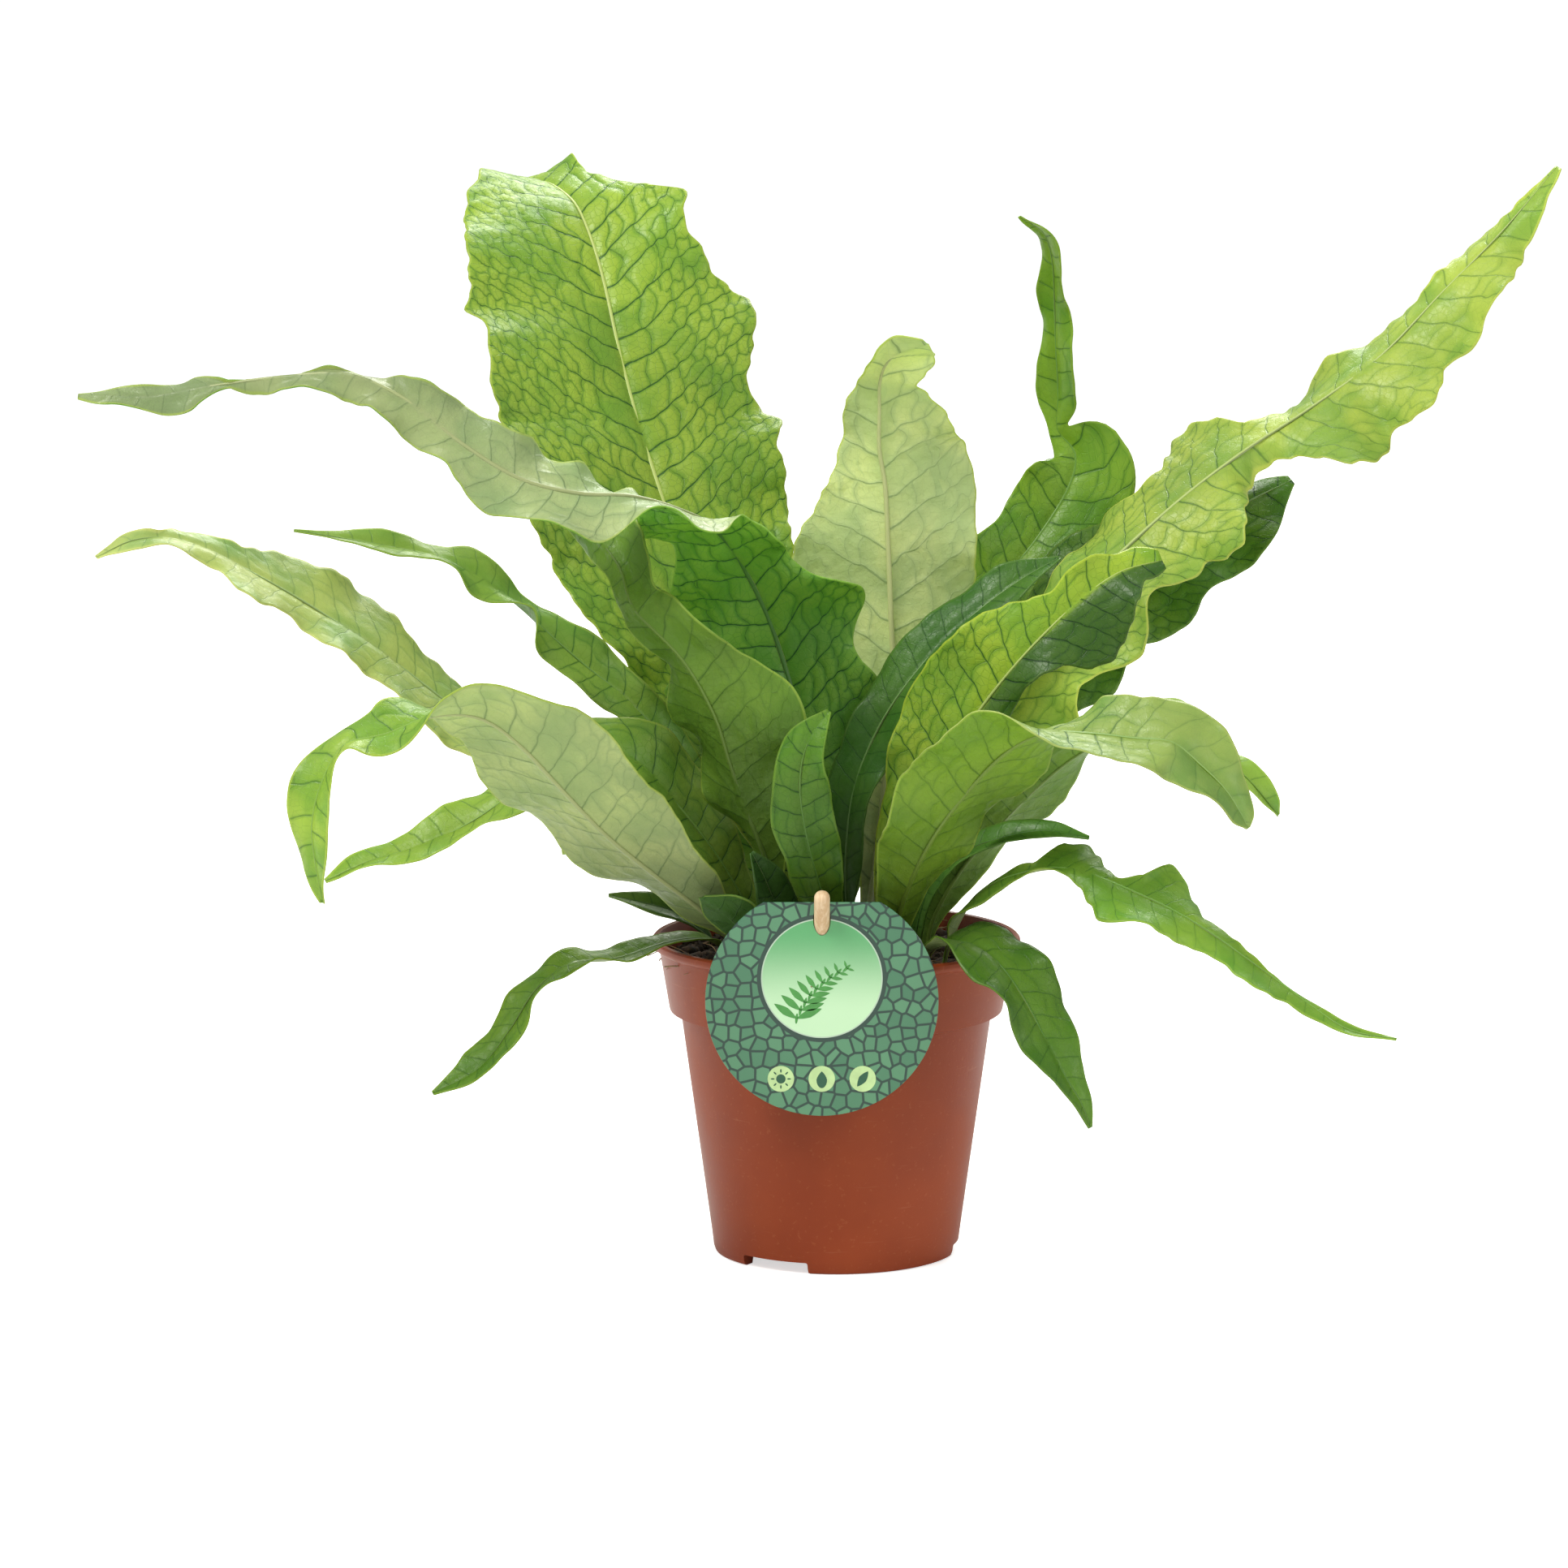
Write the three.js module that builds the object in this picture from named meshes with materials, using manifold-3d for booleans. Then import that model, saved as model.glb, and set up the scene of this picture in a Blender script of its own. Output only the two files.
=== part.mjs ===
// Crocodile fern in its nursery pot. Millimetres, +Z up, the origin under the middle of the pot.
import * as THREE from 'three';
import { mergeVertices } from 'three/addons/utils/BufferGeometryUtils.js';
import Module from 'manifold-3d';

const wasm = await Module();
wasm.setup();

// Driving dimensions
const POT_RIM_DIAMETER = 120;
const POT_HEIGHT = 104;
const POT_BASE_DIAMETER = 80;
const POT_WALL = 1.4;
const COLLAR_HEIGHT = 24;
const SOIL_LEVEL = 97;
const CARD_DIAMETER = 74;
const STICK_DIAMETER = 5;
const STICK_LENGTH = 112;
const STALK_DEPTH = 10;
const STALK_RISE = 3.5;
const STALK_HALF_WIDTH = 1.6;
const BLADE_THICKNESS = 0.8;
const TIP_HALF_WIDTH = 0.5;
const RIB_DEPTH = 2.0;
const RIB_HALF_WIDTH = 2.4;
const QUILT_HEIGHT = 0.5;
const QUILT_HALF_WIDTH = 12;
const WAVE_HALF_WIDTH = 10;
const MARGIN_RIPPLE = 0.07;
const GAP = 0.3;
const SOCKET_CLEARANCE = GAP + 0.1;

const TURN = Math.PI * 2;
const DEGREE = Math.PI / 180;
const WELD_DISTANCE = 1e-4;
const rimRadius = POT_RIM_DIAMETER / 2;
const baseRadius = POT_BASE_DIAMETER / 2;

const group = new THREE.Group();
group.name = 'crocodile_fern';

function addPiece(name, geometry, color, roughness) {
  const material = new THREE.MeshStandardMaterial({ color, roughness, metalness: 0 });
  const mesh = new THREE.Mesh(geometry, material);
  mesh.name = name;
  group.add(mesh);
  return mesh;
}

// Booleans: a closed geometry becomes a solid, and a solid becomes a geometry again.
function solidOf(geometry) {
  const bare = geometry.clone();
  bare.deleteAttribute('normal');
  bare.deleteAttribute('uv');
  const merged = mergeVertices(bare, WELD_DISTANCE);
  return new wasm.Manifold(new wasm.Mesh({
    numProp: 3,
    vertProperties: new Float32Array(merged.attributes.position.array),
    triVerts: new Uint32Array(merged.index.array),
  }));
}

function geometryOf(solid) {
  const mesh = solid.getMesh();
  const geometry = new THREE.BufferGeometry();
  geometry.setAttribute('position', new THREE.BufferAttribute(new Float32Array(mesh.vertProperties), 3));
  geometry.setIndex(new THREE.BufferAttribute(new Uint32Array(mesh.triVerts), 1));
  return geometry;
}

// A lathe about Z: profile points are [radius, height].
function lathe(profile, segments) {
  const points = profile.map(([radius, height]) => new THREE.Vector2(radius, height));
  return new THREE.LatheGeometry(points, segments).rotateX(Math.PI / 2);
}

// Fronds

const catmullRom = (points) => new THREE.CatmullRomCurve3(points, false, 'catmullrom', 0.5);

// Cross sections along a frond. A station is [x, y, z, half width, facing x, y, z, skew]: the facing is
// the way the upper face looks, squared up to the midrib's direction, and the skew makes the right half
// wider than the left (the frond's own skew where a station gives none).
function frondRows({
  root, stations, wave = [0, 40, 0], fold = 12, skew = 0, ripple = MARGIN_RIPPLE, step = 12,
}) {
  const [rootX, rootY] = root;
  const [, , , , faceX, faceY, faceZ] = stations[0];
  const stalk = [SOIL_LEVEL - STALK_DEPTH, SOIL_LEVEL + STALK_RISE];
  const all = [...stalk.map((z) => [rootX, rootY, z, STALK_HALF_WIDTH, faceX, faceY, faceZ, 0]), ...stations];
  const spine = catmullRom(all.map(([x, y, z]) => new THREE.Vector3(x, y, z)));
  const facing = catmullRom(all.map((s) => new THREE.Vector3(s[4], s[5], s[6]).normalize()));
  const widths = catmullRom(all.map((s) => new THREE.Vector3(s[3], s[7] ?? skew, 0)));
  const [waveHeight, waveLength, wavePhase] = wave;
  const rows = [];
  let run = 0;
  for (let i = 0; i < all.length - 1; i += 1) {
    const from = new THREE.Vector3(...all[i]);
    const length = from.distanceTo(new THREE.Vector3(...all[i + 1]));
    const count = i === 0 ? 1 : Math.max(1, Math.round(length / step));
    const last = i === all.length - 2 ? 1 : 0;
    for (let k = 0; k < count + last; k += 1) {
      const t = (i + k / count) / (all.length - 1);
      const along = spine.getTangent(t);
      const up = facing.getPoint(t);
      up.addScaledVector(along, -up.dot(along)).normalize();
      const width = widths.getPoint(t);
      const half = Math.max(TIP_HALF_WIDTH, width.x);
      rows.push({
        centre: spine.getPoint(t),
        along,
        up,
        across: along.clone().cross(up),
        half,
        skew: width.y,
        ripple,
        bend: Math.sin(fold * DEGREE),
        wave: waveHeight * Math.min(1, half / WAVE_HALF_WIDTH),
        angle: TURN * (run + length * k / count) / waveLength + wavePhase,
      });
    }
    run += length;
  }
  return rows;
}

// The left half of a blade waves out of step with the right half.
const LEFT_RIPPLE_LAG = 2.1;
const LEFT_WAVE_LAG = 1.4;
const WAVE_STRETCH = 1.13;

// The upper face at v, from -1 at the left margin to 1 at the right: how far it reaches across, and how
// high it lifts. Alternate rows of the mid columns rise and sink, as the raised net between the veins.
function upperFace(row, rowIndex, v) {
  const side = Math.abs(v);
  const left = v < 0 ? 1 : 0;
  const beat = Math.sin(row.angle + left * LEFT_RIPPLE_LAG);
  const reach = v * row.half * (1 + row.skew * v) * (1 + row.ripple * side * beat);
  const flutter = row.wave * side * side * Math.cos(row.angle * WAVE_STRETCH + left * LEFT_WAVE_LAG);
  const swell = QUILT_HEIGHT * Math.min(1, row.half / QUILT_HALF_WIDTH);
  const quilt = side === 0.5 ? swell * (-1) ** rowIndex : 0;
  return { reach, lift: row.bend * side * row.half + flutter + quilt };
}

// A closed blade over cross sections: upper and lower sheets split into triangles alike, and a rim.
function bladeGeometry(rows, strips, grow = 0) {
  const columns = strips + 1;
  const sheet = new THREE.PlaneGeometry(2, 1, strips, rows.length - 1);
  const flat = sheet.attributes.position;
  const count = flat.count;
  const positions = new Float32Array(count * 6);
  for (let i = 0; i < count; i += 1) {
    const rowIndex = Math.floor(i / columns);
    const row = rows[rowIndex];
    const v = flat.getX(i);
    const { reach, lift } = upperFace(row, rowIndex, v);
    const rib = RIB_DEPTH * Math.max(0, 1 - Math.abs(v) * row.half / RIB_HALF_WIDTH);
    const top = row.centre.clone().addScaledVector(row.across, reach + v * grow);
    top.addScaledVector(row.up, lift + grow);
    const bottom = top.clone().addScaledVector(row.up, -BLADE_THICKNESS - rib - 2 * grow);
    top.toArray(positions, i * 3);
    bottom.toArray(positions, (count + i) * 3);
  }
  const index = [];
  const sheetIndex = sheet.index.array;
  for (let i = 0; i < sheetIndex.length; i += 3) {
    const [a, b, c] = [sheetIndex[i], sheetIndex[i + 1], sheetIndex[i + 2]];
    index.push(a, c, b, count + a, count + b, count + c);
  }
  const rim = [];
  for (let i = 0; i < strips; i += 1) rim.push(i);
  for (let j = 0; j < rows.length - 1; j += 1) rim.push(j * columns + strips);
  for (let i = strips; i > 0; i -= 1) rim.push((rows.length - 1) * columns + i);
  for (let j = rows.length - 1; j > 0; j -= 1) rim.push(j * columns);
  for (let i = 0; i < rim.length; i += 1) {
    const a = rim[i];
    const b = rim[(i + 1) % rim.length];
    index.push(b, a, count + a, b, count + a, count + b);
  }
  const geometry = new THREE.BufferGeometry();
  geometry.setAttribute('position', new THREE.BufferAttribute(positions, 3));
  geometry.setIndex(index);
  return geometry;
}

const LEAF_GREEN = 0x5f9a35;
const STRIPS = 4;

const fronds = [
  { name: 'frond_tall_left', root: [-8, 17], wave: [3, 52, 0.5], ripple: 0.02, stations: [
    [-12, 19, 116, 4, 1, -2, 0], [-22, 26, 145, 17, 1, -2, 0], [-38, 42, 185, 33, 1, -2, 0],
    [-57, 61, 240, 46.5, 1, -2, 0.2, -0.12], [-66, 78, 266, 47.7, 1, -2, 0.4, -0.12],
    [-72, 90, 287, 47.7, 0.9, -2, 0.6, -0.08], [-77, 103, 307, 44.2, 0.7, -2, 1, -0.13],
    [-81, 111, 320, 38.8, 0.5, -1.8, 1.3, -0.21], [-86, 121, 331, 32, 0.3, -1.4, 2, -0.3],
    [-91, 131, 336, 23, 0.1, -1, 3, -0.45], [-98, 144, 339, 19, 0, -0.6, 3, -0.3],
    [-106, 158, 338, 14, 0, -0.2, 3, 0], [-113, 170, 336, 3, 0, 0, 3],
  ] },
  { name: 'frond_pale_upright', color: 0x9cb163, root: [9, 11], wave: [2, 58, 2.6], fold: 8, ripple: 0.02,
    step: 10, stations: [
    [12, 16, 118, 4, 0, 1, 0], [16, 23, 150, 12, 0, 1, 0], [19, 26, 178, 20, 0, 1, 0],
    [18, 28, 205, 27.9, 0, 1, 0, 0.1], [17, 28, 229, 30, 0, 1, 0.05, 0.04],
    [16, 27, 248, 25, 0, 1, 0.1, -0.18], [14, 25, 261, 19.2, 0, 1, 0.3, -0.36],
    [14, 22, 274, 15.9, 0, 1, 0.5, -0.28], [14, 18, 283, 11, 0, 1, 0.8, -0.28],
    [16, 12, 290, 10.5, 0, 1, 1.2, -0.42], [21, 5, 295, 8, 0, 1, 1.5, -0.36],
    [29, -2, 298, 0.8, 0, 1, 1.5],
  ] },
  { name: 'frond_olive_centre', root: [-14, -14], wave: [3, 36, 1.2], fold: 18, skew: -0.2, ripple: 0.14,
    step: 9, stations: [
    [-21, -24, 129, 4, 1, 2, 0], [-28, -30, 149, 14, 1, 2, 0], [-34, -36, 167, 19, 1, 2, 0.2],
    [-39, -40, 183, 21, 1, 2, 0.2], [-49, -43, 201, 12, 1, 2, 0.2], [-64, -42, 217, 8, 0.8, 2, 0.3],
    [-69, -33, 229, 9, 0.3, 2, 0.3], [-78, -19, 239, 9, 0.2, 2, 0.3], [-87, -11, 247, 8, 0.2, 2, 0.3],
    [-99, -5, 256, 0.8, 0.2, 2, 0.3],
  ] },
  { name: 'frond_reaching_left', color: 0x3c6a22, root: [-6, 1], wave: [3.5, 34, 4.2], fold: 8, ripple: 0.16,
    step: 9, stations: [
    [-6, -1, 129, 4, 0, -1, 0], [-8, 1, 149, 14, 0, -1, 0], [-11, 4, 171, 25.6, 0.15, -1, 0, -0.05],
    [-17, 5, 193, 30.6, 0.15, -1, 0, -0.11], [-23, 2, 210, 29.9, 0.1, -1, -0.1, -0.1],
    [-30, -6, 225, 21, 0, -1, -0.3, -0.2], [-39, -20, 239, 17.6, 0, -0.6, -0.8, -0.08],
    [-50, -36, 247, 17, 0, 0, -1], [-65, -49, 253, 14, 0, 0.3, -1],
    [-82, -55, 255, 14, -0.1, 0.8, -0.9], [-100, -57, 260, 14, 0, 1, -0.7],
    [-118, -56, 271, 14, 0.1, 1, -0.5], [-136, -54, 285, 14, 0.2, 1, -0.5],
    [-154, -50, 292, 13, 0, 1, -0.8], [-174, -46, 291, 10, 0, 1, -0.8],
    [-195, -42, 288, 7.5, 0, 1, -0.8], [-216, -40, 284, 5, 0, 1, -0.8], [-230, -39, 284, 3, 0, 1, -0.8],
    [-240, -38, 284, 0.8, 0, 1, -0.8],
  ] },
  { name: 'frond_long_left', root: [-33, 6], wave: [1.5, 36, 0], fold: 4, ripple: 0.02, stations: [
    [-38, 6, 110, 4, 0.7, -0.5, 0.7], [-55, 3, 125, 9, 0.6, -0.6, 0.8],
    [-78, 0, 144, 13, 0.6, -0.6, 0.8], [-103, -3, 163, 14, 0.6, -0.6, 0.9],
    [-126, -9, 183, 14.4, 0.6, -0.6, 0.9, -0.31], [-148, -16, 201, 16.8, 0.5, -0.6, 1, 0.11],
    [-171, -25, 218, 15.6, 0.4, -0.6, 1, 0.16], [-192, -33, 231, 11.6, 0.2, -0.5, 1, -0.26],
    [-209, -39, 239, 7.2, 0, -0.5, 1, -0.25], [-222, -45, 240, 5.5, -0.3, -0.5, 1],
    [-234, -50, 235, 1.2, -0.4, -0.5, 1],
  ] },
  { name: 'frond_twisted_left', root: [-22, 6], strips: 2, wave: [1.5, 30, 0.8], stations: [
    [-27, 4, 116, 3, 0.8, -0.8, 0.4], [-38, 2, 137, 5, 0.8, -0.8, 0.4], [-52, 3, 163, 7, 0.5, -1, 0.5],
    [-67, 2, 181, 8, 0.4, -1, 0.6], [-80, 0, 192, 9, 0.2, -1, 0.6], [-92, -2, 203, 8, 0.3, -1, 0.7],
    [-102, -4, 213, 7, 0.6, 0.1, 1], [-114, -6, 222, 8, 0.2, -1, 0.7], [-127, -8, 229, 7, 0.1, -0.1, 1],
    [-142, -10, 233, 6, 0, -0.7, 1], [-157, -12, 236, 4, 0, -0.3, 1], [-174, -14, 239, 0.7, 0, -0.3, 1],
  ] },
  { name: 'frond_bent_left', root: [-24, -8], wave: [2.5, 40, 2.0], stations: [
    [-28, -12, 114, 4, 0.4, -0.9, 0.4], [-38, -18, 133, 9, 0.4, -0.9, 0.4],
    [-50, -23, 150, 13, 0.4, -0.9, 0.5], [-62, -27, 164, 14, 0.3, -0.8, 0.7],
    [-76, -31, 171, 13, 0, -0.6, 0.9], [-90, -34, 168, 12, -0.2, -0.5, 0.9],
    [-103, -37, 158, 11, -0.4, -0.5, 0.9], [-118, -40, 148, 9, -0.3, -0.6, 0.9],
    [-134, -43, 141, 7, -0.2, -0.6, 0.9], [-149, -46, 137, 5, -0.2, -0.6, 0.9],
    [-163, -49, 131, 0.8, -0.2, -0.6, 0.9],
  ] },
  { name: 'frond_front_left', root: [-30, -22], wave: [2.5, 46, 3.6], ripple: 0.04, stations: [
    [-35, -28, 111, 5, 0.5, 1, 0.3], [-46, -38, 122, 11, 0.5, 1, 0.4], [-59, -49, 134, 18, 0.4, 1, 0.5],
    [-73, -61, 148, 23, 0.4, 1, 0.6], [-87, -73, 165, 24, 0.3, 1, 0.6],
    [-99, -84, 180, 22, 0.25, 1, 0.6], [-111, -92, 190, 17, 0.2, 0.9, 0.9],
    [-125, -99, 192, 15, 0, 0.2, 1], [-140, -105, 187, 11, -0.3, -0.6, 1],
    [-153, -108, 184, 9, -1, -0.6, 1], [-160, -110, 172, 9, -1, -1, 0.5],
    [-163, -111, 159, 8, -1, -1, 0.1], [-162, -110, 146, 6, -1, -1, 0], [-160, -108, 134, 1, -1, -1, 0],
  ] },
  { name: 'frond_over_rim_left', root: [-36, -13], strips: 2, wave: [1.2, 30, 0], stations: [
    [-42, -20, 107, 3.5, 0.6, 0.4, 1], [-54, -33, 108.5, 5, 0, -0.2, 1],
    [-70, -48, 106, 6, -0.1, -0.3, 1], [-85, -59, 106, 7, -0.4, -0.4, 1],
    [-96, -66, 99, 7.5, -0.8, -0.5, 0.8], [-104, -70, 87, 7.5, -1, -0.8, 0.5],
    [-114, -74, 75, 6.5, -0.8, -0.8, 0.7], [-128, -77, 68, 0.8, -0.6, -0.8, 0.8],
  ] },
  { name: 'frond_bud_left', root: [-41, 12], strips: 2, stations: [
    [-46, 10, 106, 3.5, 0.8, -0.3, 0.7], [-53, 8, 111, 5, 0.4, -0.7, 1], [-62, 6, 114, 4, 0.1, -0.8, 1],
    [-74, 4, 117, 0.6, 0, -0.8, 1],
  ] },
  { name: 'frond_young_left', root: [-21, -35], step: 6, stations: [
    [-25, -39, 106, 3, 0.3, 1, 0.5], [-30, -43, 114, 8, 0.3, 1, 0.6], [-37, -47, 121, 8, 0.3, 1, 0.8],
    [-43, -50, 126, 1.5, 0.3, 1, 1],
  ] },
  { name: 'frond_young_centre', root: [2, -26], wave: [1, 26, 0], stations: [
    [-1, -35, 113, 3.5, 0.2, -1, 0.1], [-6, -46, 130, 8, 0.2, -1, 0.1],
    [-10, -54, 147, 10, 0.2, -1, 0.2], [-12, -58, 163, 9, 0, -1, 0.2],
    [-10, -60, 176, 7, -0.3, -1, 0.1], [-3, -59, 187, 0.8, -0.5, -1, 0],
  ] },
  { name: 'frond_small_dark', root: [-9, -31], strips: 2, step: 7, stations: [
    [-13, -35, 109, 5, 0.2, -1, 0.5], [-19, -39, 121, 7, 0.3, -1, 0.5],
    [-23, -42, 131, 5, 0.3, -1, 0.6], [-27, -44, 139, 0.8, 0.3, -1, 0.6],
  ] },
  { name: 'frond_glossy_centre', color: 0x3c6a22, root: [5, -5], wave: [1.5, 38, 1], stations: [
    [3, -7, 116, 4, -0.5, -0.8, 0.2], [3, -8, 136, 7, -0.5, -0.8, 0.2],
    [6, -8, 156, 9, -0.5, -0.8, 0.3], [15, -7, 177, 9.5, -0.5, -0.7, 0.4],
    [29, -5, 196, 10.5, -0.5, -0.7, 0.5], [44, -2, 210, 9, -0.5, -0.7, 0.6],
    [59, 0, 221, 7, -0.4, -0.7, 0.7], [72, 3, 228, 0.8, -0.3, -0.7, 0.7],
  ] },
  { name: 'frond_broad_right', root: [16, -10], wave: [2.5, 46, 5], fold: 5, skew: 0.1, ripple: 0.03, stations: [
    [17, -13, 118, 5, -0.3, -1, 0.2], [23, -17, 143, 12, -0.3, -1, 0.3],
    [34, -20, 163, 16.5, -0.2, -1, 0.3, -0.02], [45, -23, 181, 15, -0.1, -1, 0.3, -0.34],
    [57, -26, 197, 15, 0, -1, 0.4, -0.35], [69, -27, 210, 16.5, 0.1, -1, 0.4, 0.1],
    [80, -26, 220, 14.6, 0.2, -1, 0.5, 0.4], [91, -24, 227, 9.5, 0.2, -1, 0.6, 0.25],
    [104, -20, 230, 2, 0.1, -1, 0.8],
  ] },
  { name: 'frond_front_right', root: [15, -25], wave: [2.5, 40, 2.4], ripple: 0.04, stations: [
    [18, -32, 112, 5, -0.3, 1, 0.3], [23, -45, 130, 11, -0.3, 1, 0.4], [31, -57, 148, 17, -0.4, 1, 0.5],
    [42, -69, 165, 21, -0.4, 1, 0.6], [53, -80, 178, 21, -0.3, 0.8, 0.7],
    [64, -89, 185, 16.5, -0.1, 0.15, 1], [77, -96, 186, 14, 0.1, -0.4, 1],
    [91, -100, 185, 14.5, 0.2, -0.8, 0.9], [103, -103, 184, 15, 0.3, -1, 0.8],
    [112, -104, 177, 12, 0.5, -1, 0.7], [120, -104, 169, 8, 0.7, -1, 0.5],
    [125, -104, 161, 5.5, 0.8, -1, 0.4], [127, -104, 157, 0.8, 0.8, -1, 0.4],
  ] },
  { name: 'frond_arched_right', root: [29, -10], wave: [2.5, 44, 1], ripple: 0.05, stations: [
    [31, -12, 112, 5, -0.4, 1, 0.4], [39, -18, 128, 9, -0.4, 1, 0.5], [50, -26, 143, 13, -0.4, 1, 0.6],
    [61, -37, 157, 16, -0.4, 0.9, 0.7], [75, -48, 171, 17, -0.3, 0.5, 0.9],
    [90, -56, 180, 16, 0.1, -0.2, 1], [105, -61, 181, 13, 0.3, -0.4, 1],
    [119, -64, 174, 9, 0.6, -0.4, 0.9], [129, -66, 167, 6.5, 0.6, -0.4, 0.9],
    [136, -67, 159, 4.5, 0.6, -0.5, 0.8], [139, -67, 155, 0.8, 0.6, -0.5, 0.8],
  ] },
  { name: 'frond_long_right', root: [34, -25], wave: [3, 46, 0.6], ripple: 0.02, fold: -6, stations: [
    [37, -31, 111, 4, -0.6, 0.1, 0.7], [44, -41, 125, 9, -0.4, -0.3, 0.9],
    [56, -54, 134, 4, -0.1, -0.5, 0.9], [72, -65, 138, 9, 0, -0.5, 0.9, -0.6],
    [91, -74, 133, 10.7, 0.2, -0.6, 0.8, 0.39], [111, -81, 124, 9.9, 0.3, -0.6, 0.8, 0.05],
    [131, -87, 111, 6, 0.4, -0.6, 0.7, 0.45], [148, -92, 99, 3.2, 0.4, -0.6, 0.7, 0.3],
    [160, -96, 92, 2.2, 0.2, -0.5, 1], [174, -99, 90, 0.7, 0.1, -0.4, 1],
  ] },
  { name: 'frond_narrow_right', root: [25, -18], strips: 2, stations: [
    [26, -22, 113, 4, -0.4, -0.7, 0.6], [31, -29, 128, 5, -0.4, -0.7, 0.6],
    [40, -36, 138, 5.5, -0.3, -0.6, 0.8], [52, -43, 144, 5, 0, -0.6, 0.9],
    [66, -47, 147, 4, 0.1, -0.6, 0.9], [80, -49, 145, 0.8, 0.2, -0.6, 0.9],
  ] },
  { name: 'frond_over_rim_right', root: [27, -35], wave: [2, 34, 4], stations: [
    [31, -41, 108, 5, -0.5, 0.6, 0.8], [40, -52, 112, 11, 0, -0.2, 1],
    [50, -62, 108, 14, 0.4, -0.6, 0.9], [59, -69, 97, 13, 0.6, -0.8, 0.6],
    [66, -74, 84, 10, 0.6, -0.9, 0.5], [72, -77, 73, 7, 0.6, -0.9, 0.5],
    [77, -79, 65, 4, 0.7, -0.9, 0.4], [80, -79, 57, 0.7, 0.8, -0.9, 0.3],
  ] },
  { name: 'frond_far_right', root: [27, 5], wave: [4, 44, 0.2], fold: -20, skew: 0.25, ripple: 0.15,
    stations: [
    [29, 7, 114, 5, -0.5, -0.6, 0.3], [36, 10, 142, 12, -0.5, -0.6, 0.4],
    [49, 14, 171, 18, -0.5, -0.6, 0.5], [67, 19, 199, 22, -0.5, -0.6, 0.6],
    [89, 26, 223, 24, -0.5, -0.6, 0.7, -0.08], [112, 33, 243, 24, -0.5, -0.6, 0.7, 0],
    [134, 39, 259, 17.5, -0.5, -0.6, 0.7, -0.5], [155, 44, 272, 21.5, -0.5, -0.6, 0.7, 0.22],
    [178, 50, 288, 21.9, -0.5, -0.6, 0.7, 0.22], [199, 55, 309, 14.5, -0.5, -0.6, 0.7, 0.23],
    [219, 59, 329, 9.6, -0.6, -0.6, 0.6, -0.06], [237, 62, 350, 0.8, -0.6, -0.6, 0.6],
  ] },
  { name: 'frond_behind_right', root: [29, 17], wave: [3, 40, 2], fold: -8, ripple: 0.13, stations: [
    [33, 21, 116, 5, -0.4, -0.9, 0.3], [45, 28, 146, 12, -0.2, -1, 0.3],
    [62, 35, 176, 16, -0.2, -1, 0.3], [80, 44, 200, 22, -0.2, -1, 0.4],
    [100, 52, 218, 22.5, -0.1, -1, 0.5], [120, 60, 230, 21, -0.1, -0.9, 0.6],
    [138, 67, 239, 15, -0.1, -0.8, 0.8], [152, 73, 245, 2, 0, -0.7, 1],
  ] },
  { name: 'frond_tall_right', root: [12, 23], wave: [2.5, 40, 3], skew: 0.2, ripple: 0.08, stations: [
    [15, 30, 139, 5, -0.2, -1, 0.2], [22, 42, 160, 11, -0.2, -1, 0.3], [33, 56, 182, 17, -0.2, -1, 0.3],
    [49, 64, 204, 20, -0.2, -1, 0.3], [67, 72, 225, 19, -0.1, -1, 0.3], [78, 77, 242, 17, 0, -1, 0.2],
    [80, 79, 253, 13, 0, -1, 0.1], [74, 79, 261, 4, -0.4, -1, 0], [74, 78, 271, 7.5, -0.9, -1, 0],
    [73, 74, 288, 7.5, -0.9, -1, 0], [72, 68, 304, 6, -0.9, -1, 0], [71, 60, 318, 5, -1, -1, 0],
    [68, 52, 328, 4, -0.9, -0.9, -0.6], [60, 44, 334, 0.8, -0.6, -0.6, -1],
  ] },
  { name: 'frond_back_left', root: [-20, 25], wave: [3, 44, 1], stations: [
    [-23, 30, 114, 5, 0.3, -1, 0.4], [-29, 45, 140, 15, 0.3, -1, 0.6], [-36, 66, 163, 22, 0.3, -1, 1],
    [-43, 91, 176, 24, 0.1, -0.5, 1], [-49, 117, 174, 20, 0, 0.3, 1], [-54, 141, 160, 12, 0, 1, 1],
    [-58, 158, 142, 0.8, 0, 1, 0.8],
  ] },
  { name: 'frond_back_centre', root: [2, 31], wave: [3, 42, 2], stations: [
    [3, 36, 114, 5, 0, -1, 0.3], [5, 50, 141, 14, 0, -1, 0.5], [7, 68, 165, 21, 0, -1, 0.8],
    [9, 90, 180, 22, 0, -0.6, 1], [11, 114, 181, 18, 0, 0.2, 1], [13, 137, 170, 11, 0, 0.8, 1],
    [15, 154, 153, 0.8, 0, 1, 0.8],
  ] },
  { name: 'frond_back_right', root: [28, 31], wave: [3, 45, 4], stations: [
    [31, 36, 113, 5, -0.3, -1, 0.4], [37, 50, 136, 13, -0.3, -1, 0.6], [45, 69, 155, 19, -0.3, -0.9, 1],
    [53, 92, 164, 20, -0.1, -0.3, 1], [60, 114, 159, 16, 0.1, 0.5, 1], [66, 133, 143, 9, 0.3, 1, 0.8],
    [70, 145, 126, 0.8, 0.3, 1, 0.6],
  ] },
  { name: 'frond_back_low', root: [-34, 20], wave: [2, 38, 0], stations: [
    [-39, 25, 110, 4, 0.6, -0.6, 0.7], [-49, 38, 126, 10, 0.5, -0.5, 0.8],
    [-61, 54, 137, 14, 0.3, -0.3, 1], [-73, 72, 139, 13, 0, 0, 1], [-84, 89, 130, 9, -0.3, 0.4, 1],
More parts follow.
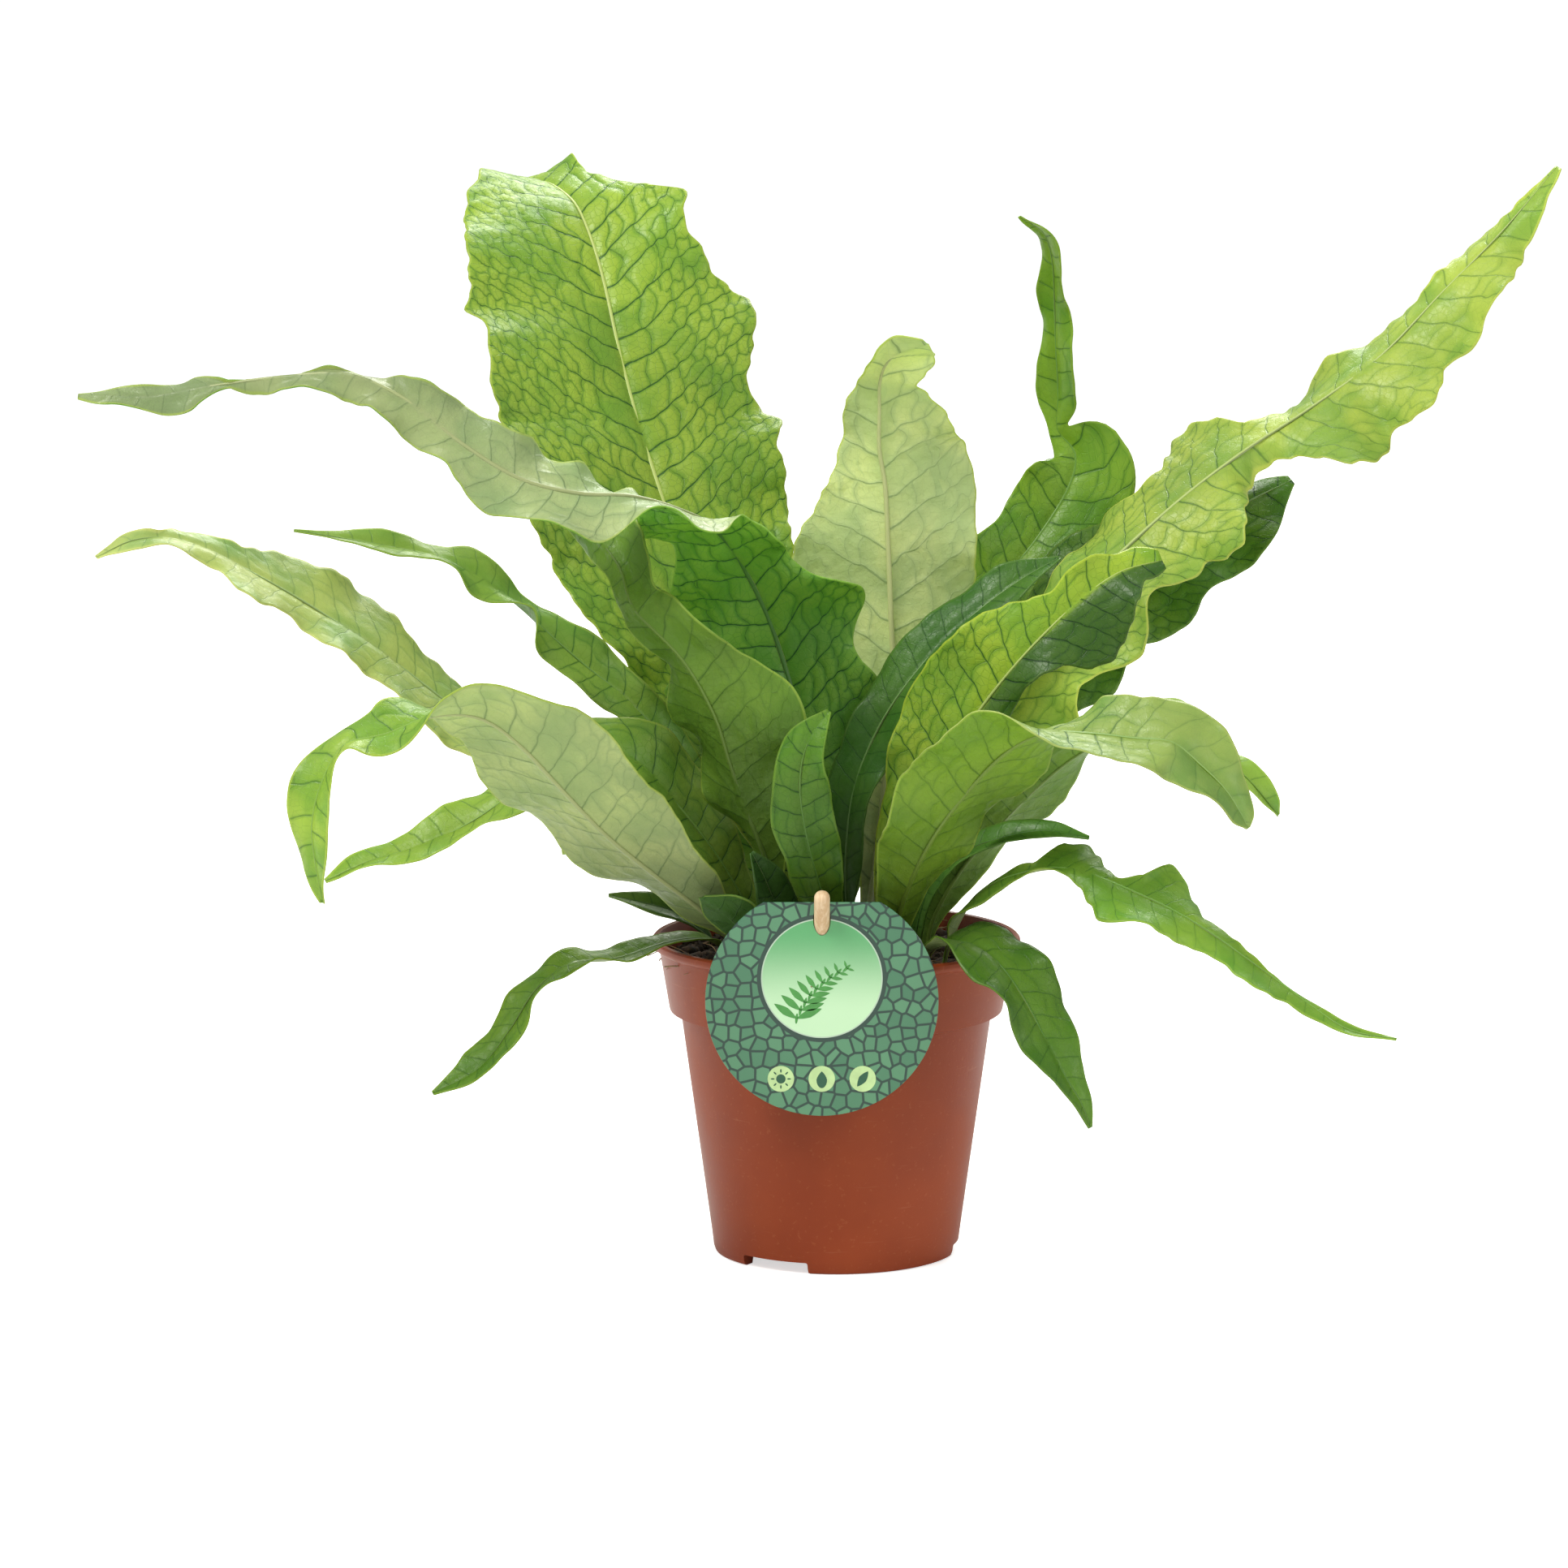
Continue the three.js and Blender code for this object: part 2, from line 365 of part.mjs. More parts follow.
    [-92, 101, 114, 0.8, -0.6, 0.6, 0.8],
  ] },
];

const stalkSockets = [];
for (const frond of fronds) {
  const rows = frondRows(frond);
  addPiece(frond.name, bladeGeometry(rows, frond.strips ?? STRIPS), frond.color ?? LEAF_GREEN, 0.45);
  const [foot, collar] = rows;
  const lowered = foot.centre.clone().addScaledVector(foot.along, -GAP);
  stalkSockets.push(bladeGeometry([{ ...foot, centre: lowered }, collar], 2, SOCKET_CLEARANCE));
}

// Pot: one moulded shell with a stepped collar, a slotted foot ring, and a raised floor with drain holes
// whose dished middle stands level with the foot.
const FLOOR_UNDERSIDE = 4;
const FLOOR_TOP = FLOOR_UNDERSIDE + POT_WALL;
const FOOT_WIDTH = 4;
const DISH_RADIUS = 10;
const DISH_SLOPE = 1.5;
const PAD_HEIGHT = 0.6; // the flat pad under the dish, which stands with the foot
const PAD_CORNERS = 33;
const SLOT_COUNT = 3;
const SLOT_WIDTH = 24;
const FIRST_SLOT = -121 * DEGREE;
const DRAIN_DIAMETER = 8;
const DRAIN_RING = 22;
const DRAIN_COUNT = 6;
const collarBottom = POT_HEIGHT - COLLAR_HEIGHT;
const bodyRadius = rimRadius - 9.4;
const collarRadius = rimRadius - 5.6;

function potGeometry() {
  const walls = solidOf(lathe([
    [0, PAD_HEIGHT], [DISH_RADIUS + 0.3, PAD_HEIGHT], [DISH_RADIUS + DISH_SLOPE, FLOOR_UNDERSIDE],
    [baseRadius - FOOT_WIDTH - 2, FLOOR_UNDERSIDE], [baseRadius - FOOT_WIDTH - 1, 0],
    [baseRadius - 1.6, 0], [baseRadius, 1.8], [bodyRadius, collarBottom - 0.8],
    [collarRadius - 1, collarBottom], [collarRadius, collarBottom + 1],
    [rimRadius - 2.2, POT_HEIGHT - 3.6], [rimRadius, POT_HEIGHT - 2],
    [rimRadius, POT_HEIGHT - 0.6], [rimRadius - 0.6, POT_HEIGHT], [rimRadius - 2.2, POT_HEIGHT],
    [rimRadius - 3.6, POT_HEIGHT - 4], [collarRadius - POT_WALL, collarBottom + 2],
    [bodyRadius - POT_WALL, collarBottom - 0.4], [baseRadius - POT_WALL + 0.6, FLOOR_TOP + 2],
    [baseRadius - POT_WALL - 1.4, FLOOR_TOP], [DISH_RADIUS + DISH_SLOPE - 0.4, FLOOR_TOP],
    [DISH_RADIUS - 0.4, POT_WALL], [0, POT_WALL],
  ], 40));
  // The pad is one flat face: with an odd number of corners its middle is inside a triangle.
  const corners = Array.from({ length: PAD_CORNERS }, (_, i) => new THREE.Vector2(
    DISH_RADIUS * Math.cos(i * TURN / PAD_CORNERS), DISH_RADIUS * Math.sin(i * TURN / PAD_CORNERS),
  ));
  const pad = new THREE.ExtrudeGeometry(new THREE.Shape(corners), {
    depth: PAD_HEIGHT + 0.4, bevelEnabled: false,
  });
  const shell = walls.add(solidOf(pad));
  const cutters = [];
  for (let i = 0; i < SLOT_COUNT; i += 1) {
    const angle = FIRST_SLOT + i * TURN / SLOT_COUNT;
    const slot = new THREE.BoxGeometry(FOOT_WIDTH * 4, SLOT_WIDTH, FLOOR_UNDERSIDE * 2);
    cutters.push(slot.translate(baseRadius - FOOT_WIDTH / 2, 0, -0.2).rotateZ(angle));
  }
  for (let i = 0; i < DRAIN_COUNT; i += 1) {
    const angle = i * TURN / DRAIN_COUNT;
    const drain = new THREE.CylinderGeometry(DRAIN_DIAMETER / 2, DRAIN_DIAMETER / 2, POT_WALL * 4, 12);
    cutters.push(drain.rotateX(Math.PI / 2).translate(DRAIN_RING, 0, FLOOR_TOP).rotateZ(angle));
  }
  return geometryOf(cutters.reduce((solid, cutter) => solid.subtract(solidOf(cutter)), shell));
}

// Rhizome: knobbly creeping branches at the soil's surface, one closed solid of the given radius.
const RHIZOME_RADIUS = 4.4;
const RHIZOME_AXIS = SOIL_LEVEL - 3;
const rhizomeBranches = [
  [[-39, 8], [-27, 2], [-14, -7], [0, -9], [14, -12], [27, -16], [37, -27]],
  [[0, -9], [4, 4], [12, 14], [20, 27]],
];

function rhizomeSolid(radius) {
  const parts = rhizomeBranches.flatMap((branch) => {
    const path = catmullRom(branch.map(([x, y], i) => new THREE.Vector3(x, y, RHIZOME_AXIS - i % 2)));
    const section = new THREE.Shape().absarc(0, 0, radius, 0, TURN);
    const tube = new THREE.ExtrudeGeometry(section, {
      steps: branch.length + 3, curveSegments: 4, bevelEnabled: false, extrudePath: path,
    });
    const ends = [0, 1].map((t) => {
      const { x, y, z } = path.getPoint(t);
      return new THREE.SphereGeometry(radius * 1.1, 8, 4).translate(x, y, z);
    });
    return [tube, ...ends].map(solidOf);
  });
  return parts.reduce((whole, part) => whole.add(part));
}

// Soil: fills the pot up to a lumpy top.
const SOIL_SEGMENTS = 24;
const SOIL_CLEARANCE = GAP + 0.1;
const LUMP_HEIGHT = 0.9;

function soilSolid() {
  const top = [[53.4, -1], [46, 0], [36, 0], [25, 0], [13, 0], [0, 0]];
  const geometry = lathe([
    [0, POT_WALL + SOIL_CLEARANCE], [DISH_RADIUS - 1, POT_WALL + SOIL_CLEARANCE],
    [DISH_RADIUS + DISH_SLOPE - 1, FLOOR_TOP + SOIL_CLEARANCE],
    [baseRadius - POT_WALL - 1.6, FLOOR_TOP + SOIL_CLEARANCE], [baseRadius - POT_WALL, FLOOR_TOP + 3],
    [bodyRadius - POT_WALL - SOIL_CLEARANCE, collarBottom],
    [collarRadius - POT_WALL - SOIL_CLEARANCE, collarBottom + 3], [rimRadius - 5.4, SOIL_LEVEL - 3],
    ...top.map(([radius, drop]) => [radius, SOIL_LEVEL + drop]),
  ], SOIL_SEGMENTS);
  const position = geometry.attributes.position;
  for (let i = 0; i < position.count; i += 1) {
    const [x, y, z] = [position.getX(i), position.getY(i), position.getZ(i)];
    if (z < SOIL_LEVEL - 1.5) continue;
    const lumps = Math.sin(x * 0.71 + 1) * Math.cos(y * 0.63) + 0.6 * Math.sin(x * 1.9 - y * 1.3);
    position.setZ(i, z + LUMP_HEIGHT * lumps);
  }
  return solidOf(geometry);
}

const largestOf = (solid) => solid.decompose().sort((a, b) => b.volume() - a.volume())[0];
const sockets = stalkSockets.map(solidOf);
const cutSockets = (solid) => largestOf(sockets.reduce((left, socket) => left.subtract(socket), solid));

// Label: a round card with a flat top, hung on a stick that runs through its slot into the soil.
const CARD_THICKNESS = 0.8;
const CARD_CENTRE = [-5, 94];
const CARD_TOP = 126;
const STICK_LEAN = 32 * DEGREE;
const STICK_TOP = [-5, -67, 130];

function stickGeometry(grow) {
  const radius = STICK_DIAMETER / 2 + grow;
  const profile = [
    [0, -STICK_LENGTH - grow], [radius, -STICK_LENGTH - grow], [radius, -1.6], [radius * 0.62, 0], [0, 0],
  ];
  return lathe(profile, 16).rotateX(STICK_LEAN).translate(...STICK_TOP);
}

function cardGeometry() {
  const radius = CARD_DIAMETER / 2;
  const half = Math.acos((CARD_TOP - CARD_CENTRE[1]) / radius);
  const [start, end] = [Math.PI / 2 + half, Math.PI / 2 - half + TURN];
  const outline = new THREE.Shape().absarc(0, 0, radius, start, end, false);
  const disc = new THREE.ExtrudeGeometry(outline, {
    depth: CARD_THICKNESS, bevelEnabled: false, curveSegments: 40,
  });
  disc.rotateX(Math.PI / 2).translate(CARD_CENTRE[0], -rimRadius - GAP, CARD_CENTRE[1]);
  return geometryOf(solidOf(disc).subtract(solidOf(stickGeometry(GAP))));
}

addPiece('pot', potGeometry(), 0xb4552c, 0.5);
addPiece('rhizome', geometryOf(cutSockets(rhizomeSolid(RHIZOME_RADIUS))), 0x5b4a30, 0.9);
const stickHole = solidOf(stickGeometry(GAP));
const bed = soilSolid().subtract(rhizomeSolid(RHIZOME_RADIUS + GAP)).subtract(stickHole);
addPiece('soil', geometryOf(cutSockets(bed)), 0x2f2118, 0.95);
addPiece('label_card', cardGeometry(), 0x3f7f55, 0.4);
addPiece('label_stick', stickGeometry(0), 0xd8b88c, 0.6);

export default group;
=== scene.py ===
# Crocodile fern in its nursery pot. Sizes are in millimetres; meshes are made in metres.
import math
import random

import bmesh
import bpy
from mathutils import Matrix, Vector, noise


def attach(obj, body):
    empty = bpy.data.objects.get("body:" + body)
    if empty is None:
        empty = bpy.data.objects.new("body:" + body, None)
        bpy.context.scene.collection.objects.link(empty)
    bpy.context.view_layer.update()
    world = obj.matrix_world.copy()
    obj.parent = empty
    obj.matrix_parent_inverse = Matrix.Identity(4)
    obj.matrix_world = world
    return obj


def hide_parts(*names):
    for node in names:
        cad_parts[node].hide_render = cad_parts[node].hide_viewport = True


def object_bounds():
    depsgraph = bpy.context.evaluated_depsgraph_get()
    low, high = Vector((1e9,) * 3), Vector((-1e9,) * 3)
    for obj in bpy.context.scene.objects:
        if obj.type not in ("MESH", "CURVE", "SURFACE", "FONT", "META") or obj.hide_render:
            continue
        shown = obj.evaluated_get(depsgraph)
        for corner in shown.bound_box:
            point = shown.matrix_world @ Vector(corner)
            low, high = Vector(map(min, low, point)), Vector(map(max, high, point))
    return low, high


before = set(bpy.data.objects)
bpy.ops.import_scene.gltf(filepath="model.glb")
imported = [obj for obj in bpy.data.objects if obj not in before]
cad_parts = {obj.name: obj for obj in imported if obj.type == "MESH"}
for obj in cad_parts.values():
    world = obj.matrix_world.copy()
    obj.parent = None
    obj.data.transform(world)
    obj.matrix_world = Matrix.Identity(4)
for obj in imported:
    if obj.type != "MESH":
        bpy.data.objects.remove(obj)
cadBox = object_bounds()
mm = .001
tau = math.tau
tiny = 1e-6
roll = random.uniform
random.seed(7)


# meshes and objects

def meshFrom(bm, name, materials=()):
    mesh = bpy.data.meshes.new(name)
    bm.to_mesh(mesh)
    bm.free()
    for material in materials:
        mesh.materials.append(material)
    return mesh


def addObject(name, data):
    thing = bpy.data.objects.new(name, data)
    bpy.context.scene.collection.objects.link(thing)
    return thing


def addPiece(bm, name, materials, smooth=True):
    mesh = meshFrom(bm, name, materials)
    for face in mesh.polygons:
        face.use_smooth = smooth
    piece = addObject(name, mesh)
    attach(piece, "root")
    return piece


def active(first, *others):
    chosen = [first, *others]
    return bpy.context.temp_override(object=first, active_object=first, selected_editable_objects=chosen)


def applyModifiers(piece):
    with active(piece):
        for modifier in list(piece.modifiers):
            bpy.ops.object.modifier_apply(modifier=modifier.name)


def cutAway(piece, bm):
    cutter = addObject("cutter", meshFrom(bm, "cutter"))
    cut = piece.modifiers.new("cut", "BOOLEAN")
    cut.object = cutter
    cut.solver = "EXACT"
    applyModifiers(piece)
    bpy.data.objects.remove(cutter)


def turned(degrees, axis, size=4):
    return Matrix.Rotation(math.radians(degrees), size, axis)


def moved(*place):
    return Matrix.Translation(Vector(place) * mm)


def sized(*size):
    return Matrix.Diagonal(Vector((*size, 1 / mm)) * mm)


def rounded(bm, edges, radius, segments):
    bmesh.ops.bevel(bm, geom=edges, offset=radius * mm, segments=segments, profile=.5, affect="EDGES",
                    material=-1)


def between(value, low, high):
    return min(high, max(low, value))


# materials

def newMaterial(name, roughness=.5, **sockets):
    material = bpy.data.materials.new(name)
    material.use_nodes = True
    shader = material.node_tree.nodes["Principled BSDF"]
    for socket, value in (("Roughness", roughness), *sockets.items()):
        shader.inputs[socket].default_value = value
    return material, material.node_tree, shader


def connect(tree, value, socket):
    if isinstance(value, bpy.types.NodeSocket):
        tree.links.new(value, socket)
    else:
        socket.default_value = value


def addNode(tree, kind, settings=None, **inputs):
    node = tree.nodes.new("ShaderNode" + kind)
    for key, value in (settings or {}).items():
        setattr(node, key, value)
    for key, value in inputs.items():
        connect(tree, value, node.inputs[key])
    return node


def calc(tree, operation, *values):
    node = addNode(tree, "Math", {"operation": operation})
    for socket, value in zip(node.inputs, values):
        connect(tree, value, socket)
    return node.outputs[0]


def times(tree, a, b):
    return calc(tree, "MULTIPLY", a, b)


def remap(tree, value, low, high, toLow=0, toHigh=1, curve="SMOOTHSTEP"):
    ends = {"From Min": low, "From Max": high, "To Min": toLow, "To Max": toHigh}
    return addNode(tree, "MapRange", {"interpolation_type": curve}, Value=value, **ends).outputs[0]


def mixColor(tree, factor, a, b, blend="MIX"):
    node = addNode(tree, "Mix", {"data_type": "RGBA", "blend_type": blend})
    connect(tree, factor, node.inputs[0])
    for socket, value in zip(node.inputs[6:8], (a, b)):
        connect(tree, (*value, 1) if isinstance(value, tuple) else value, socket)
    return node.outputs[2]


def dyed(tree, color, dye):
    return mixColor(tree, 1, color, dye, "MULTIPLY")


def noiseOf(tree, vector, scale, detail=2, flat=False):
    settings = {"noise_dimensions": "2D" if flat else "3D"}
    return addNode(tree, "TexNoise", settings, Vector=vector, Scale=scale, Detail=detail).outputs[0]


def stretched(tree, vector, scale, turn=(0, 0, 0)):
    return addNode(tree, "Mapping", Vector=vector, Rotation=turn, Scale=scale).outputs[0]


def objectSpace(tree):
    return addNode(tree, "TexCoord").outputs["Object"]


def attributeOf(tree, name, output="Color"):
    return addNode(tree, "Attribute", {"attribute_name": name}).outputs[output]


def dress(tree, shader, skin, *bumps, roughness=None):
    # bumps are (height, strength, distance), from the first laid to the last
    connect(tree, skin, shader.inputs["Base Color"])
    if roughness:
        connect(tree, roughness, shader.inputs["Roughness"])
    normal = None
    for height, strength, distance in bumps:
        bump = addNode(tree, "Bump", Strength=strength, Distance=distance * mm, Height=height)
        if normal:
            connect(tree, normal, bump.inputs["Normal"])
        normal = bump.outputs[0]
    connect(tree, normal, shader.inputs["Normal"])


def blendShaders(tree, kind, first, second, **inputs):
    both = addNode(tree, kind, **inputs)
    for shader, socket in zip((first, second), both.inputs[-2:]):
        tree.links.new(shader.outputs[0], socket)
    tree.links.new(both.outputs[0], tree.nodes["Material Output"].inputs["Surface"])


# camera, lights and floor

view = {
    "camera": (-17, -2200, 510), "target": (-17, 0, 154), "lens": 157.7, "sensor": 36, "farthest": 50000,
    "lightTarget": (0, 0, 180), "world": .5, "backdrop": 1,
    "floorHalf": 40000, "floorGlow": .62, "floorSpill": .06,
    "lights": {
        "softKey": {"at": (-1100, -900, 1900), "size": 800, "watts": 42, "color": (1, .985, .94)},
        "softFill": {"at": (1500, -1300, 900), "size": 900, "watts": 9, "color": (1, .99, .96)},
        "backGlow": {"at": (300, 1500, 1500), "size": 1100, "watts": 37, "color": (1, 1, .93)},
    },
}


def aimed(name, data, at, target):
    thing = addObject(name, data)
    thing.location = Vector(at) * mm
    thing.rotation_euler = (Vector(target) - Vector(at)).to_track_quat("-Z", "Y").to_euler()
    return thing


def seenDirectly(tree):
    return addNode(tree, "LightPath").outputs["Is Camera Ray"]


def makeStudio():
    scene = bpy.context.scene
    camera = bpy.data.cameras.new("camera")
    camera.lens = view["lens"]
    camera.sensor_width = view["sensor"]
    camera.clip_end = view["farthest"] * mm
    scene.camera = aimed("camera", camera, view["camera"], view["target"])
    for name, light in view["lights"].items():
        data = bpy.data.lights.new(name, "AREA")
        data.size = light["size"] * mm
        data.energy = light["watts"]
        data.color = light["color"]
        aimed(name, data, light["at"], view["lightTarget"])
    scene.world = bpy.data.worlds.new("studio")
    scene.world.use_nodes = True
    tree = scene.world.node_tree
    background = tree.nodes["Background"].inputs
    background["Color"].default_value = (1, 1, 1, 1)
    extra = view["backdrop"] - view["world"]
    strength = calc(tree, "MULTIPLY_ADD", seenDirectly(tree), extra, view["world"])
    connect(tree, strength, background["Strength"])
    scene.view_settings.view_transform = "Standard"


def makeFloor():
    emission = {"Emission Color": (1, 1, 1, 1), "Emission Strength": view["floorSpill"]}
    material, tree, shader = newMaterial("paleFloor", .9, **emission)
    grain = noiseOf(tree, objectSpace(tree), 3)
    connect(tree, mixColor(tree, grain, (.84, .84, .835), (.87, .87, .865)), shader.inputs["Base Color"])
    strength = times(tree, seenDirectly(tree), view["floorGlow"] - view["floorSpill"])
    blendShaders(tree, "AddShader", shader, addNode(tree, "Emission", Strength=strength))
    bm = bmesh.new()
    bmesh.ops.create_grid(bm, x_segments=1, y_segments=1, size=view["floorHalf"] * mm)
    floor = addObject("floor", meshFrom(bm, "floor", [material]))


makeStudio()
makeFloor()
print("studio ready")


# fronds

# every frond starts from these; its own values go before them
frondStyle = {
    "soil": 97, "stalkDepth": 10, "stalkRise": 3.5, "stalkHalf": 1.6, "tipHalf": .5, "thickness": .45,
    "quad": 1.15, "fold": 12, "skew": 0,
    "wave": (0, 40, 0), "waveHalf": 10, "waveLag": 1.4, "waveStretch": 1.13, "ripple": .07, "rippleLag": 2.1,
    "nibble": .009, "ruffle": 1, "ruffleHigh": .8, "swell": .9, "groove": .5, "grooveHalf": 1.8,
    "flatMargin": 3.5, "flatMiddle": 2.2, "flatHalf": 8, "relief": .085, "slant": .55, "spread": .001,
    "cellRatio": 1.4, "bow": .14, "arch": .17, "splitAt": 2.2, "splitOver": .7,
    "ribHalf": 1.35, "ribDepth": 1.5, "ribRise": .3, "ribSink": .42, "ribNarrow": .62, "ribSides": 12,
    # crownLow, crownHigh and crownWide place the painted shade at the crowded foot of the plant
    "crownLow": 105, "crownHigh": 85, "crownWide": 95, "mottle": .14, "tint": (.19, .42, .06),
    # the right-half factors paint shade on a frond's right half; 1 leaves it as it is
    "under": (.36, .48, .20), "rightTone": (1, 1, 1), "tone": (1, 1), "veins": (.7, .7),
}

